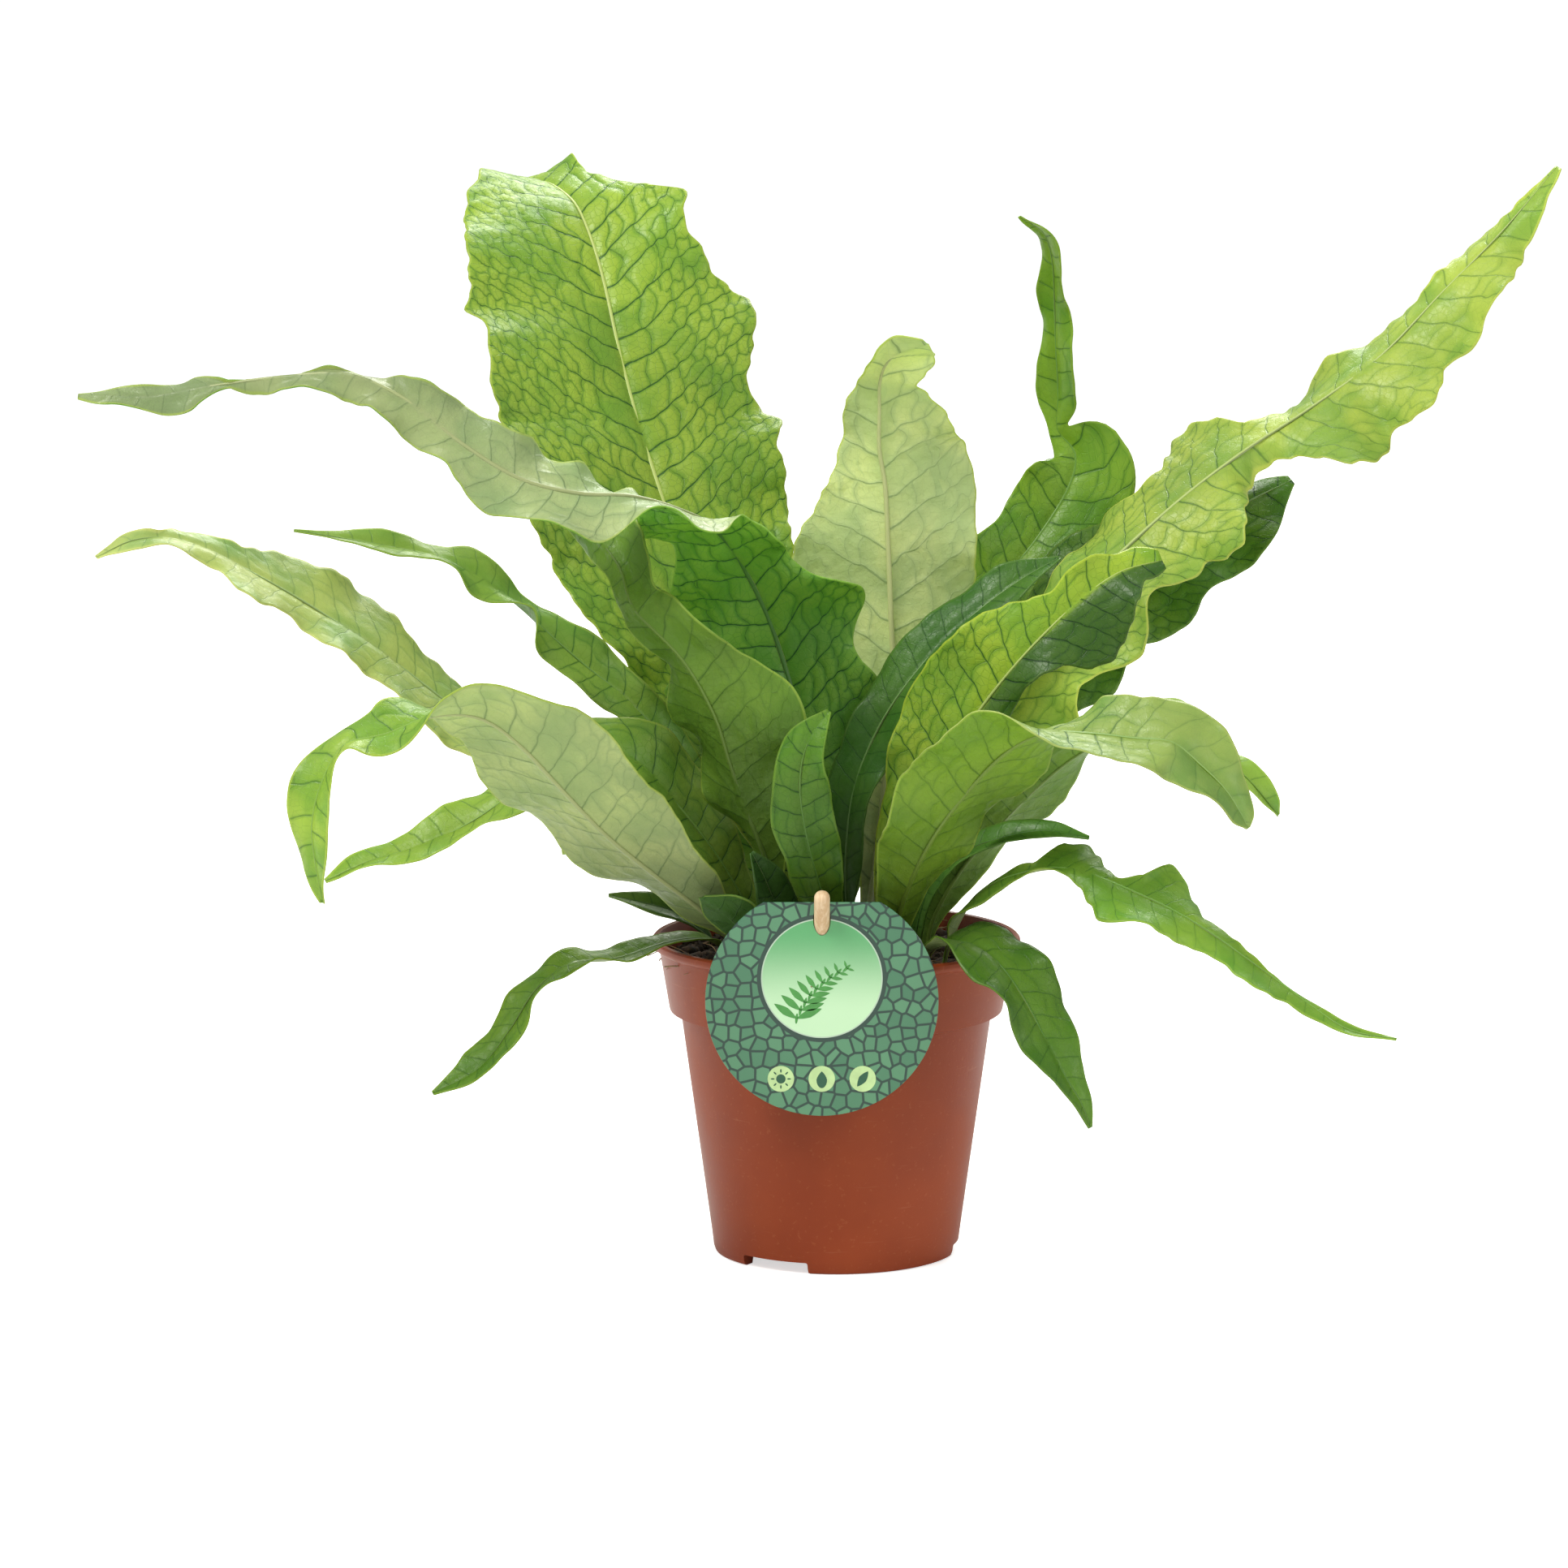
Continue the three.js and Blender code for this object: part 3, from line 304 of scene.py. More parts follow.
# a station is x, y, z, half width, then facing (the last one's, if left out), then skew if it has its own;
# left and right, where given, are that half's own widths along the spine: start, step, widths
fronds = [
    dict(name="frond_tall_left", root=(-8, 17), wave=(3, 52, .5), ripple=.02, tint=(.265, .455, .057),
        quad=1.2, pitch=10.4, veins=(1, 1), ridge=(.47, .56, .16), tone=(.96, .96, .94, 1.08, 1.12),
        left=(130, 6, (41.8, 43.9, 45.9, 47.2, 47.8, 51.9, 53.5, 54.2, 55.2, 54.2, 52.3, 53.2, 53.8, 54.6,
            54.1, 52.6, 50.5, 49.6, 53.3, 50.9, 49.7, 49.2, 48, 46.3, 44.4, 42.5, 40, 37.3)),
        right=(106, 6, (31.7, 33.2, 33.7, 33.6, 33.3, 33.6, 34.8, 37, 39.3, 40.7, 41.8, 41.4, 41.3, 42.8,
            46.2, 42.4, 40.2, 39.7, 41.4, 43.8, 45, 45.8, 46.5, 40.5, 36.1, 34.4, 30.5, 31, 33.4, 23.8, 21,
            18.4)),
        stations=[(-12, 19, 116, 4, 1, -2, 0), (-22, 26, 145, 17), (-38, 42, 185, 33),
            (-57, 61, 240, 46.5, 1, -2, .2, -.12), (-66, 78, 266, 47.7, 1, -2, .4, -.12),
            (-72, 90, 287, 47.7, .9, -2, .6, -.08), (-77, 103, 307, 44.2, .7, -2, 1, -.13),
            (-81, 111, 320, 38.8, .5, -1.8, 1.3, -.21), (-86, 121, 331, 32, .3, -1.4, 2, -.3),
            (-91, 131, 336, 23, .1, -1, 3, -.45), (-98, 144, 339, 19, 0, -.6, 3, -.3),
            (-106, 158, 338, 14, 0, -.2, 3, 0), (-113, 170, 336, 3, 0, 0, 3)]),
    dict(name="frond_pale_upright", root=(9, 11), wave=(2, 58, 2.6), fold=8, ripple=.02, tint=(.3, .5, .12),
        under=(.68, .8, .39), veins=(.8, .8), tone=(.92, .92, 1.04),
        left=(104, 6, (13.1, 18.8, 23.9, 26.4, 27.5, 28.4, 28.8, 29, 29.2, 29.3, 29.3, 27.9, 26.3, 25.1,
            22.1, 16.3, 12, 14.3, 16.4, 14.2)),
        right=(126, 6, (30.9, 31.7, 32.3, 31.2, 28.2, 24, 21.1, 18, 14.2, 11.1, 11.9, 10.9, 7.4, 5.7, 5.4,
            6.1, 6.2)),
        stations=[(12, 16, 118, 4, 0, 1, 0), (16, 23, 150, 12), (19, 26, 178, 20), (18, 28, 205, 27.9, .1),
            (17, 28, 229, 30, 0, 1, .05, .04), (16, 27, 248, 25, 0, 1, .1, -.18),
            (14, 25, 261, 19.2, 0, 1, .3, -.36), (14, 22, 274, 15.9, 0, 1, .5, -.28),
            (14, 18, 283, 11, 0, 1, .8, -.28), (16, 12, 290, 10.5, 0, 1, 1.2, -.42),
            (21, 5, 295, 8, 0, 1, 1.5, -.36), (29, -2, 298, .8)]),
    dict(name="frond_olive_centre", root=(-14, -14), wave=(3, 36, 1.2), fold=18, skew=-.2, ripple=.14,
        tint=(.2, .42, .07), under=(.17, .32, .04), veins=(.9, .7),
        stations=[(-21, -24, 129, 4, 1, 2, 0), (-28, -30, 149, 14), (-34, -36, 167, 19, 1, 2, .2),
            (-39, -40, 183, 21), (-49, -43, 201, 12), (-64, -42, 217, 8, .8, 2, .3),
            (-69, -33, 229, 9, .3, 2, .3), (-78, -19, 239, 9, .2, 2, .3), (-87, -11, 247, 8),
            (-99, -5, 256, .8)]),
    dict(name="frond_reaching_left", root=(-6, 1), wave=(3.5, 34, 4.2), fold=8, ripple=.16,
        tint=(.17, .42, .055), under=(.45, .56, .27), veins=(1, .4), pitch=9, ridge=(.07, .2, .03),
        tone=(1, 1, 1.1, .72, .8),
        left=(260, 8, (12.5, 11.2, 10.6, 9.2, 7, 4.6, 2.6, 2.4, 1.8, 1, .8, .6)),
        right=(260, 8, (11, 8, 9.2, 9.4, 8.8, 7.8, 5.9, 6.2, 5.4, 4.6, 2.6, 1.2)),
        stations=[(-6, -1, 129, 4, 0, -1, 0), (-8, 1, 149, 14), (-11, 4, 171, 25.6, .15, -1, 0, -.05),
            (-17, 5, 193, 30.6, -.11), (-23, 2, 210, 29.9, .1, -1, -.1, -.1),
            (-30, -6, 225, 21, 0, -1, -.3, -.2), (-39, -20, 239, 17.6, 0, -.6, -.8, -.08),
            (-50, -36, 247, 17, 0, 0, -1), (-65, -49, 253, 14, 0, .3, -1),
            (-82, -55, 255, 14, -.1, .8, -.9), (-100, -57, 260, 14, 0, 1, -.7),
            (-118, -56, 271, 14, .1, 1, -.5), (-136, -54, 285, 14, .2, 1, -.5),
            (-154, -50, 292, 13, 0, 1, -.8), (-174, -46, 291, 10), (-195, -42, 288, 7.5),
            (-216, -40, 284, 5), (-230, -39, 284, 3), (-240, -38, 284, .8)]),
    dict(name="frond_long_left", root=(-33, 6), wave=(1.5, 36, 0), fold=4, ripple=.02, tint=(.36, .52, .17),
        under=(.36, .48, .2), veins=(.35, .25),
        left=(147, 7, (18.5, 18.5, 15.5, 14.2, 14.9, 16.7, 16.2, 12.8, 11.9, 14.7, 18.2, 16.1, 8, 7.6, 9.5,
            7.5, 6.2)),
        right=(140, 7, (11, 12.6, 11.9, 13.1, 18, 22.2, 21.6, 19.1, 17.8, 18.3, 16.4, 12.1, 8.2, 7.6, 7.9,
            5.4, 1.6)),
        stations=[(-38, 6, 110, 4, .7, -.5, .7), (-55, 3, 125, 9, .6, -.6, .8), (-78, 0, 144, 13),
            (-103, -3, 163, 14, .6, -.6, .9), (-126, -9, 183, 14.4, -.31),
            (-148, -16, 201, 16.8, .5, -.6, 1, .11), (-171, -25, 218, 15.6, .4, -.6, 1, .16),
            (-192, -33, 231, 11.6, .2, -.5, 1, -.26), (-209, -39, 239, 7.2, 0, -.5, 1, -.25),
            (-222, -45, 240, 5.5, -.3, -.5, 1), (-234, -50, 235, 1.2, -.4, -.5, 1)]),
    dict(name="frond_twisted_left", root=(-22, 6), wave=(1.5, 30, .8), tint=(.23, .43, .07),
        under=(.2, .36, .1), veins=(.6, .3),
        stations=[(-27, 4, 116, 3, .8, -.8, .4), (-38, 2, 137, 5), (-52, 3, 163, 7, .5, -1, .5),
            (-67, 2, 181, 8, .4, -1, .6), (-80, 0, 192, 9, .2, -1, .6), (-92, -2, 203, 8, .3, -1, .7),
            (-102, -4, 213, 7, .6, .1, 1), (-114, -6, 222, 8, .2, -1, .7), (-127, -8, 229, 7, .1, -.1, 1),
            (-142, -10, 233, 6, 0, -.7, 1), (-157, -12, 236, 4, 0, -.3, 1), (-174, -14, 239, .7)]),
    dict(name="frond_bent_left", root=(-24, -8), wave=(2.5, 40, 2), tint=(.23, .43, .06), veins=(.7, .4),
        stations=[(-28, -12, 114, 4, .4, -.9, .4), (-38, -18, 133, 9), (-50, -23, 150, 13, .4, -.9, .5),
            (-62, -27, 164, 14, .3, -.8, .7), (-76, -31, 171, 13, 0, -.6, .9),
            (-90, -34, 168, 12, -.2, -.5, .9), (-103, -37, 158, 11, -.4, -.5, .9),
            (-118, -40, 148, 9, -.3, -.6, .9), (-134, -43, 141, 7, -.2, -.6, .9), (-149, -46, 137, 5),
            (-163, -49, 131, .8)]),
    dict(name="frond_front_left", root=(-30, -22), wave=(2.5, 46, 3.6), ripple=.04, tint=(.27, .47, .07),
        under=(.5, .62, .27), veins=(.8, .55), ruffle=.2, tone=(.88, .92, 1, 1),
        stations=[(-35, -28, 111, 5, .5, 1, .3), (-46, -38, 122, 11, .5, 1, .4),
            (-59, -49, 134, 18, .4, 1, .5), (-73, -61, 148, 23, .4, 1, .6), (-87, -73, 165, 24, .3, 1, .6),
            (-99, -84, 180, 22, .25, 1, .6), (-111, -92, 190, 17, .2, .9, .9),
            (-125, -99, 192, 15, 0, .2, 1), (-140, -105, 187, 11, -.3, -.6, 1),
            (-153, -108, 184, 9, -1, -.6, 1), (-160, -110, 172, 9, -1, -1, .5),
            (-163, -111, 159, 8, -1, -1, .1), (-162, -110, 146, 6, -1, -1, 0), (-160, -108, 134, 1)]),
    dict(name="frond_over_rim_left", root=(-36, -13), wave=(1.2, 30, 0), tint=(.14, .3, .025),
        veins=(.4, .4),
        stations=[(-42, -20, 107, 3.5, .6, .4, 1), (-54, -33, 108.5, 5, 0, -.2, 1),
            (-70, -48, 106, 6, -.1, -.3, 1), (-85, -59, 106, 7, -.4, -.4, 1),
            (-96, -66, 99, 7.5, -.8, -.5, .8), (-104, -70, 87, 7.5, -1, -.8, .5),
            (-114, -74, 75, 6.5, -.8, -.8, .7), (-128, -77, 68, .8, -.6, -.8, .8)]),
    dict(name="frond_bud_left", root=(-41, 12), tint=(.16, .33, .08), veins=(.3, .3),
        stations=[(-46, 10, 106, 3.5, .8, -.3, .7), (-53, 8, 111, 5, .4, -.7, 1),
            (-62, 6, 114, 4, .1, -.8, 1), (-74, 4, 117, .6, 0, -.8, 1)]),
    dict(name="frond_young_left", root=(-21, -35), tint=(.13, .33, .05), under=(.11, .27, .05),
        veins=(.7, .7),
        stations=[(-25, -39, 106, 3, .3, 1, .5), (-30, -43, 114, 8, .3, 1, .6),
            (-37, -47, 121, 8, .3, 1, .8), (-43, -50, 126, 1.5, .3, 1, 1)]),
    dict(name="frond_young_centre", root=(2, -26), wave=(1, 26, 0), tint=(.115, .285, .027), veins=(.7, .7),
        stations=[(-1, -35, 113, 3.5, .2, -1, .1), (-6, -46, 130, 8), (-10, -54, 147, 10, .2, -1, .2),
            (-12, -58, 163, 9, 0, -1, .2), (-10, -60, 176, 7, -.3, -1, .1),
            (-3, -59, 187, .8, -.5, -1, 0)]),
    dict(name="frond_small_dark", root=(-9, -31), tint=(.06, .18, .03), veins=(.6, .6),
        stations=[(-13, -35, 109, 5, .2, -1, .5), (-19, -39, 121, 7, .3, -1, .5),
            (-23, -42, 131, 5, .3, -1, .6), (-27, -44, 139, .8)]),
    dict(name="frond_glossy_centre", root=(5, -5), wave=(1.5, 38, 1), tint=(.07, .2, .03), veins=(.35, .5),
        ridge=(.16, .3, .08),
        stations=[(3, -7, 116, 4, -.5, -.8, .2), (3, -8, 136, 7), (6, -8, 156, 9, -.5, -.8, .3),
            (15, -7, 177, 9.5, -.5, -.7, .4), (29, -5, 196, 10.5, -.5, -.7, .5),
            (44, -2, 210, 9, -.5, -.7, .6), (59, 0, 221, 7, -.4, -.7, .7), (72, 3, 228, .8, -.3, -.7, .7)]),
    dict(name="frond_broad_right", root=(16, -10), wave=(2.5, 46, 5), fold=5, skew=.1, ripple=.03,
        # the right half is painted darker: painted shade where it falls away from the light
        tint=(.32, .54, .05), veins=(1, .8), rightTone=(.2, .3, .5), ridge=(.42, .52, .14),
        left=(77, 7, (17.8, 19.7, 22, 22.8, 22.8, 21.8, 20.6, 19.2, 15.7, 11.2, 8, 9.3, 8.7, 5.8, 7)),
        right=(118, 7, (7.7, 8.7, 11.4, 19, 21.8, 19.7, 16.6, 12.1, 6)),
        stations=[(17, -13, 118, 5, -.3, -1, .2), (23, -17, 143, 12, -.3, -1, .3),
            (34, -20, 163, 16.5, -.2, -1, .3, -.02), (45, -23, 181, 15, -.1, -1, .3, -.34),
            (57, -26, 197, 15, 0, -1, .4, -.35), (69, -27, 210, 16.5, .1, -1, .4, .1),
            (80, -26, 220, 14.6, .2, -1, .5, .4), (91, -24, 227, 9.5, .2, -1, .6, .25),
            (104, -20, 230, 2, .1, -1, .8)]),
    dict(name="frond_front_right", root=(15, -25), wave=(2.5, 40, 2.4), ripple=.04, tint=(.31, .5, .13),
        under=(.26, .46, .045), veins=(.9, .2), tone=(1, 1, .98, .86, .86),
        stations=[(18, -32, 112, 5, -.3, 1, .3), (23, -45, 130, 11, -.3, 1, .4),
            (31, -57, 148, 17, -.4, 1, .5), (42, -69, 165, 21, -.4, 1, .6), (53, -80, 178, 21, -.3, .8, .7),
            (64, -89, 185, 16.5, -.1, .15, 1), (77, -96, 186, 14, .1, -.4, 1),
            (91, -100, 185, 14.5, .2, -.8, .9), (103, -103, 184, 15, .3, -1, .8),
            (112, -104, 177, 12, .5, -1, .7), (120, -104, 169, 8, .7, -1, .5),
            (125, -104, 161, 5.5, .8, -1, .4), (127, -104, 157, .8)]),
    dict(name="frond_arched_right", root=(29, -10), wave=(2.5, 44, 1), ripple=.05, tint=(.22, .42, .06),
        under=(.25, .44, .07), veins=(.8, .3),
        stations=[(31, -12, 112, 5, -.4, 1, .4), (39, -18, 128, 9, -.4, 1, .5),
            (50, -26, 143, 13, -.4, 1, .6), (61, -37, 157, 16, -.4, .9, .7),
            (75, -48, 171, 17, -.3, .5, .9), (90, -56, 180, 16, .1, -.2, 1),
            (105, -61, 181, 13, .3, -.4, 1), (119, -64, 174, 9, .6, -.4, .9), (129, -66, 167, 6.5),
            (136, -67, 159, 4.5, .6, -.5, .8), (139, -67, 155, .8)]),
    dict(name="frond_long_right", root=(34, -25), wave=(3, 46, .6), fold=-6, ripple=.02,
        tint=(.2, .41, .05), veins=(.4, .2), ridge=(.19, .4, .055),
        left=(72, 6, (1.9, 14.1, 16.5, 12, 6.4, 2.7, 5.9, 16.7, 15.6, 11.6, 7, 5.3, 3.4, 1.4, .6, 1.5,
            1.9)),
        right=(74, 6, (2.7, 2.4, 3.1, 5.2, 9.7, 15.3, 15.5, 14.1, 12.8, 11.1, 8.4, 6.7, 7, 9.2, 10, 8.2,
            5.1)),
        stations=[(37, -31, 111, 4, -.6, .1, .7), (44, -41, 125, 9, -.4, -.3, .9),
            (56, -54, 134, 4, -.1, -.5, .9), (72, -65, 138, 9, 0, -.5, .9, -.6),
            (91, -74, 133, 10.7, .2, -.6, .8, .39), (111, -81, 124, 9.9, .3, -.6, .8, .05),
            (131, -87, 111, 6, .4, -.6, .7, .45), (148, -92, 99, 3.2, .3), (160, -96, 92, 2.2, .2, -.5, 1),
            (174, -99, 90, .7, .1, -.4, 1)]),
    dict(name="frond_narrow_right", root=(25, -18), tint=(.1, .28, .04), veins=(.4, .3),
        stations=[(26, -22, 113, 4, -.4, -.7, .6), (31, -29, 128, 5), (40, -36, 138, 5.5, -.3, -.6, .8),
            (52, -43, 144, 5, 0, -.6, .9), (66, -47, 147, 4, .1, -.6, .9),
            (80, -49, 145, .8, .2, -.6, .9)]),
    dict(name="frond_over_rim_right", root=(27, -35), wave=(2, 34, 4), tint=(.1, .25, .027), veins=(.4, .3),
        stations=[(31, -41, 108, 5, -.5, .6, .8), (40, -52, 112, 11, 0, -.2, 1),
            (50, -62, 108, 14, .4, -.6, .9), (59, -69, 97, 13, .6, -.8, .6), (66, -74, 84, 10, .6, -.9, .5),
            (72, -77, 73, 7), (77, -79, 65, 4, .7, -.9, .4), (80, -79, 57, .7, .8, -.9, .3)]),
    dict(name="frond_far_right", root=(27, 5), wave=(4, 44, .2), fold=-20, skew=.25, ripple=.15,
        tint=(.38, .58, .1), veins=(.7, .45), ridge=(.4, .5, .15), tone=(1.6, 1.3, .9, .92, 1),
        left=(186, 6, (22.3, 23.1, 29.8, 36.6, 35.3, 25.5, 13.5, 12.8, 13.2, 16.8, 19.3, 21, 19.6, 17.3, 16,
            16.7, 17.9, 14.9, 10.2, 7.8, 8.8, 11.9, 13.8, 12.5, 8.1, 3.6, 2.1, 1.8)),
        right=(178, 6, (20.3, 27.7, 31, 26.9, 17.1, 7.2, 2.7, 5.1, 10.7, 19.2, 29.5, 30.5, 26.3, 21.1, 26.2,
            30.4, 26.6, 19.8, 19.5, 19, 18.6, 20, 20.5, 17.9, 12.8, 7.9, 7.1, 7.2, 6)),
        stations=[(29, 7, 114, 5, -.5, -.6, .3), (36, 10, 142, 12, -.5, -.6, .4),
            (49, 14, 171, 18, -.5, -.6, .5), (67, 19, 199, 22, -.5, -.6, .6),
            (89, 26, 223, 24, -.5, -.6, .7, -.08), (112, 33, 243, 24, 0), (134, 39, 259, 17.5, -.5),
            (155, 44, 272, 21.5, .22), (178, 50, 288, 21.9, .22), (199, 55, 309, 14.5, .23),
            (219, 59, 329, 9.6, -.6, -.6, .6, -.06), (237, 62, 350, .8)]),
    dict(name="frond_behind_right", root=(29, 17), wave=(3, 40, 2), fold=-8, ripple=.13,
        tint=(.1, .24, .028), veins=(.9, .8), ridge=(.12, .26, .05),
        stations=[(33, 21, 116, 5, -.4, -.9, .3), (45, 28, 146, 12, -.2, -1, .3), (62, 35, 176, 16),
            (80, 44, 200, 22, -.2, -1, .4), (100, 52, 218, 22.5, -.1, -1, .5),
            (120, 60, 230, 21, -.1, -.9, .6), (138, 67, 239, 15, -.1, -.8, .8),
            (152, 73, 245, 2, 0, -.7, 1)]),
    dict(name="frond_tall_right", root=(12, 23), wave=(2.5, 40, 3), skew=.2, ripple=.08,
        tint=(.16, .34, .033), veins=(.7, .5),
        stations=[(15, 30, 139, 5, -.2, -1, .2), (22, 42, 160, 11, -.2, -1, .3), (33, 56, 182, 17),
            (49, 64, 204, 20), (67, 72, 225, 19, -.1, -1, .3), (78, 77, 242, 17, 0, -1, .2),
            (80, 79, 253, 13, 0, -1, .1), (74, 79, 261, 4, -.4, -1, 0), (74, 78, 271, 7.5, -.9, -1, 0),
            (73, 74, 288, 7.5), (72, 68, 304, 6), (71, 60, 318, 5, -1, -1, 0),
            (68, 52, 328, 4, -.9, -.9, -.6), (60, 44, 334, .8, -.6, -.6, -1)]),
    dict(name="frond_back_left", root=(-20, 25), wave=(3, 44, 1),
        stations=[(-23, 30, 114, 5, .3, -1, .4), (-29, 45, 140, 15, .3, -1, .6),
            (-36, 66, 163, 22, .3, -1, 1), (-43, 91, 176, 24, .1, -.5, 1), (-49, 117, 174, 20, 0, .3, 1),
            (-54, 141, 160, 12, 0, 1, 1), (-58, 158, 142, .8, 0, 1, .8)]),
    dict(name="frond_back_centre", root=(2, 31), wave=(3, 42, 2),
        stations=[(3, 36, 114, 5, 0, -1, .3), (5, 50, 141, 14, 0, -1, .5), (7, 68, 165, 21, 0, -1, .8),
            (9, 90, 180, 22, 0, -.6, 1), (11, 114, 181, 18, 0, .2, 1), (13, 137, 170, 11, 0, .8, 1),
            (15, 154, 153, .8, 0, 1, .8)]),
    dict(name="frond_back_right", root=(28, 31), wave=(3, 45, 4),
        stations=[(31, 36, 113, 5, -.3, -1, .4), (37, 50, 136, 13, -.3, -1, .6),
            (45, 69, 155, 19, -.3, -.9, 1), (53, 92, 164, 20, -.1, -.3, 1), (60, 114, 159, 16, .1, .5, 1),
            (66, 133, 143, 9, .3, 1, .8), (70, 145, 126, .8, .3, 1, .6)]),
    dict(name="frond_back_low", root=(-34, 20), wave=(2, 38, 0),
        stations=[(-39, 25, 110, 4, .6, -.6, .7), (-49, 38, 126, 10, .5, -.5, .8),
            (-61, 54, 137, 14, .3, -.3, 1), (-73, 72, 139, 13, 0, 0, 1), (-84, 89, 130, 9, -.3, .4, 1),
            (-92, 101, 114, .8, -.6, .6, .8)]),
]


def curvePoint(points, t):
    # uniform Catmull-Rom: the point and the direction at t, from 0 to 1
    span = t * (len(points) - 1)
    i = min(int(span), len(points) - 2)
    f = span - i
    start, end = points[i], points[i + 1]
    before = points[i - 1] if i else start * 2 - end
    after = points[i + 2] if i + 2 < len(points) else end * 2 - start
    leave, arrive = (end - before) / 2, (after - start) / 2
    square = (end - start) * 3 - leave * 2 - arrive
    cube = (start - end) * 2 + leave + arrive
    return start + (leave + (square + cube * f) * f) * f, leave + (square * 2 + cube * 3 * f) * f


def frondRows(frond):
    # even rows along the spine, each with its place, axes, widths and wave
    x, y = frond["root"]
    stations = frond["stations"]
    feet = [(x, y, frond["soil"] + z, frond["stalkHalf"], *stations[0][4:7], 0)
            for z in (-frond["stalkDepth"], frond["stalkRise"])]
    centres, facings, widths = [], [], []
    for at in feet + stations:
        centres.append(Vector(at[:3]))
        facings.append(Vector(at[4:7]).normalized() if len(at) > 5 else facings[-1])
        widths.append(Vector((at[3], at[-1] if len(at) in (5, 8) else frond["skew"])))
    height, waveLength, phase = frond["wave"]
    spans = len(centres) - 1
    rows, run, reach, last = [], 0, 0, centres[0]
    for i in range(spans):
        chord = (centres[i + 1] - centres[i]).length
        count = max(2, round(chord / frond["quad"]))
        for k in range(count + (i == spans - 1)):
            t = (i + k / count) / spans
            centre, along = curvePoint(centres, t)
            along = along.normalized()
            up = curvePoint(facings, t)[0]
            up = (up - along * up.dot(along)).normalized()
            width = curvePoint(widths, t)[0]
            half = max(frond["tipHalf"], width.x)
            reach += (centre - last).length
            last = centre
            rows.append({"t": t, "at": centre, "up": up, "across": along.cross(up), "reach": reach,
                         "half": half, "skew": width.y, "wave": height * min(1, half / frond["waveHalf"]),
                         "angle": tau * (run + chord * k / count) / waveLength + phase})
        run += chord
    return rows


def netCoordinates(along, out, pitch, left):
    # phase counts half the distance between side veins and cell counts the cross veins; both run smoothly
    wobble = noise.noise(Vector((along * .03, out * .045, left * 9))) * .7
    wobble += noise.noise(Vector((along * .1, out * .12, left * 9 + 4))) * .3
    sway = noise.noise(Vector((along * .13, out * .09, left * 9 + 8))) * .5
    slanted = along - frondStyle["slant"] * out - frondStyle["spread"] * out * out
    cell = out / (pitch / 2 * frondStyle["cellRatio"]) * (1 + .006 * out) + sway
    return 2 * slanted / pitch + wobble + left * .94, cell


def netDome(phase, cell):
    # 0 on a vein and 1 in the middle of a cell; the in-between side veins start far out
    far = between((cell - frondStyle["splitAt"]) / frondStyle["splitOver"], 0, 1)
    phase -= frondStyle["bow"] * math.cos(tau * cell) * (math.cos(math.pi * phase) - .4) * (.4 + .6 * far)
    strong = abs(phase - 2 * round(phase / 2))
    weak = 1 - strong + 1 - far
    split = far > .5
    band = math.floor(phase) if split else math.floor(phase / 2)
    bulge = .4 * math.sin(math.pi * (phase % 1)) if split else math.sin(math.pi * (phase / 2 % 1))
    stagger = cell - frondStyle["arch"] * bulge + .5 * band + .22 * math.sin(band * 2.4 + cell * 1.7)
    cross = abs(stagger - round(stagger)) + (1 - between((cell - .55) / .25, 0, 1))
    rise = min(1, min(strong, weak, cross) / .4)
    return rise * (2 - rise)


def eased(share):
    return share * share * (3 - 2 * share)


def veinStrength(pair, t):
    # changes from the first to the second between the middle and the tip
    return pair[0] + (pair[1] - pair[0]) * eased(between((t - .5) / .22, 0, 1))


def toneAt(values, t):
    place = t * (len(values) - 1)
    i = min(len(values) - 2, int(place))
    return values[i] + (values[i + 1] - values[i]) * (place - i)


def edgeAt(outline, reach, out):
    # the half's own outline eases into the stations' width beyond its ends
    if not outline:
        return out
    start, step, widths = outline
    span = (reach - start) / step
    i = between(int(span), 0, len(widths) - 2)
    share = eased(between(span - i, 0, 1))
    beyond = max(0, -span, span - len(widths) + 1) * step / 12
    return out + (widths[i] * (1 - share) + widths[i + 1] * share - out) * max(0, 1 - beyond)


def camelName(name):
    first, *rest = name.split("_")
    return first + "".join(word.title() for word in rest)


def crownPaintedShade(at):
    # painted shade: the crowded foot of the plant is painted darker than the open tips, standing in for the
    # shade among the stalks
    above = (at.z - frondStyle["crownLow"]) / frondStyle["crownHigh"]
    outside = math.hypot(at.x, at.y) / frondStyle["crownWide"] - .25
    return .5 + .5 * between(max(above, outside), 0, 1)


def leafGrid(columns, rows):
    bm = bmesh.new()
    maps = [bm.loops.layers.uv.new(name) for name in ("leaf", "net")]
    paints = [bm.verts.layers.float_color.new(name) for name in ("tint", "under")]
    edgeOf = bm.verts.layers.float.new("edge")
    bmesh.ops.create_grid(bm, x_segments=columns, y_segments=len(rows) - 1, size=1)
    return bm, maps, paints, edgeOf


def rowOf(rows, vert):
    return rows[round((vert.co.y + 1) / 2 * (len(rows) - 1))]


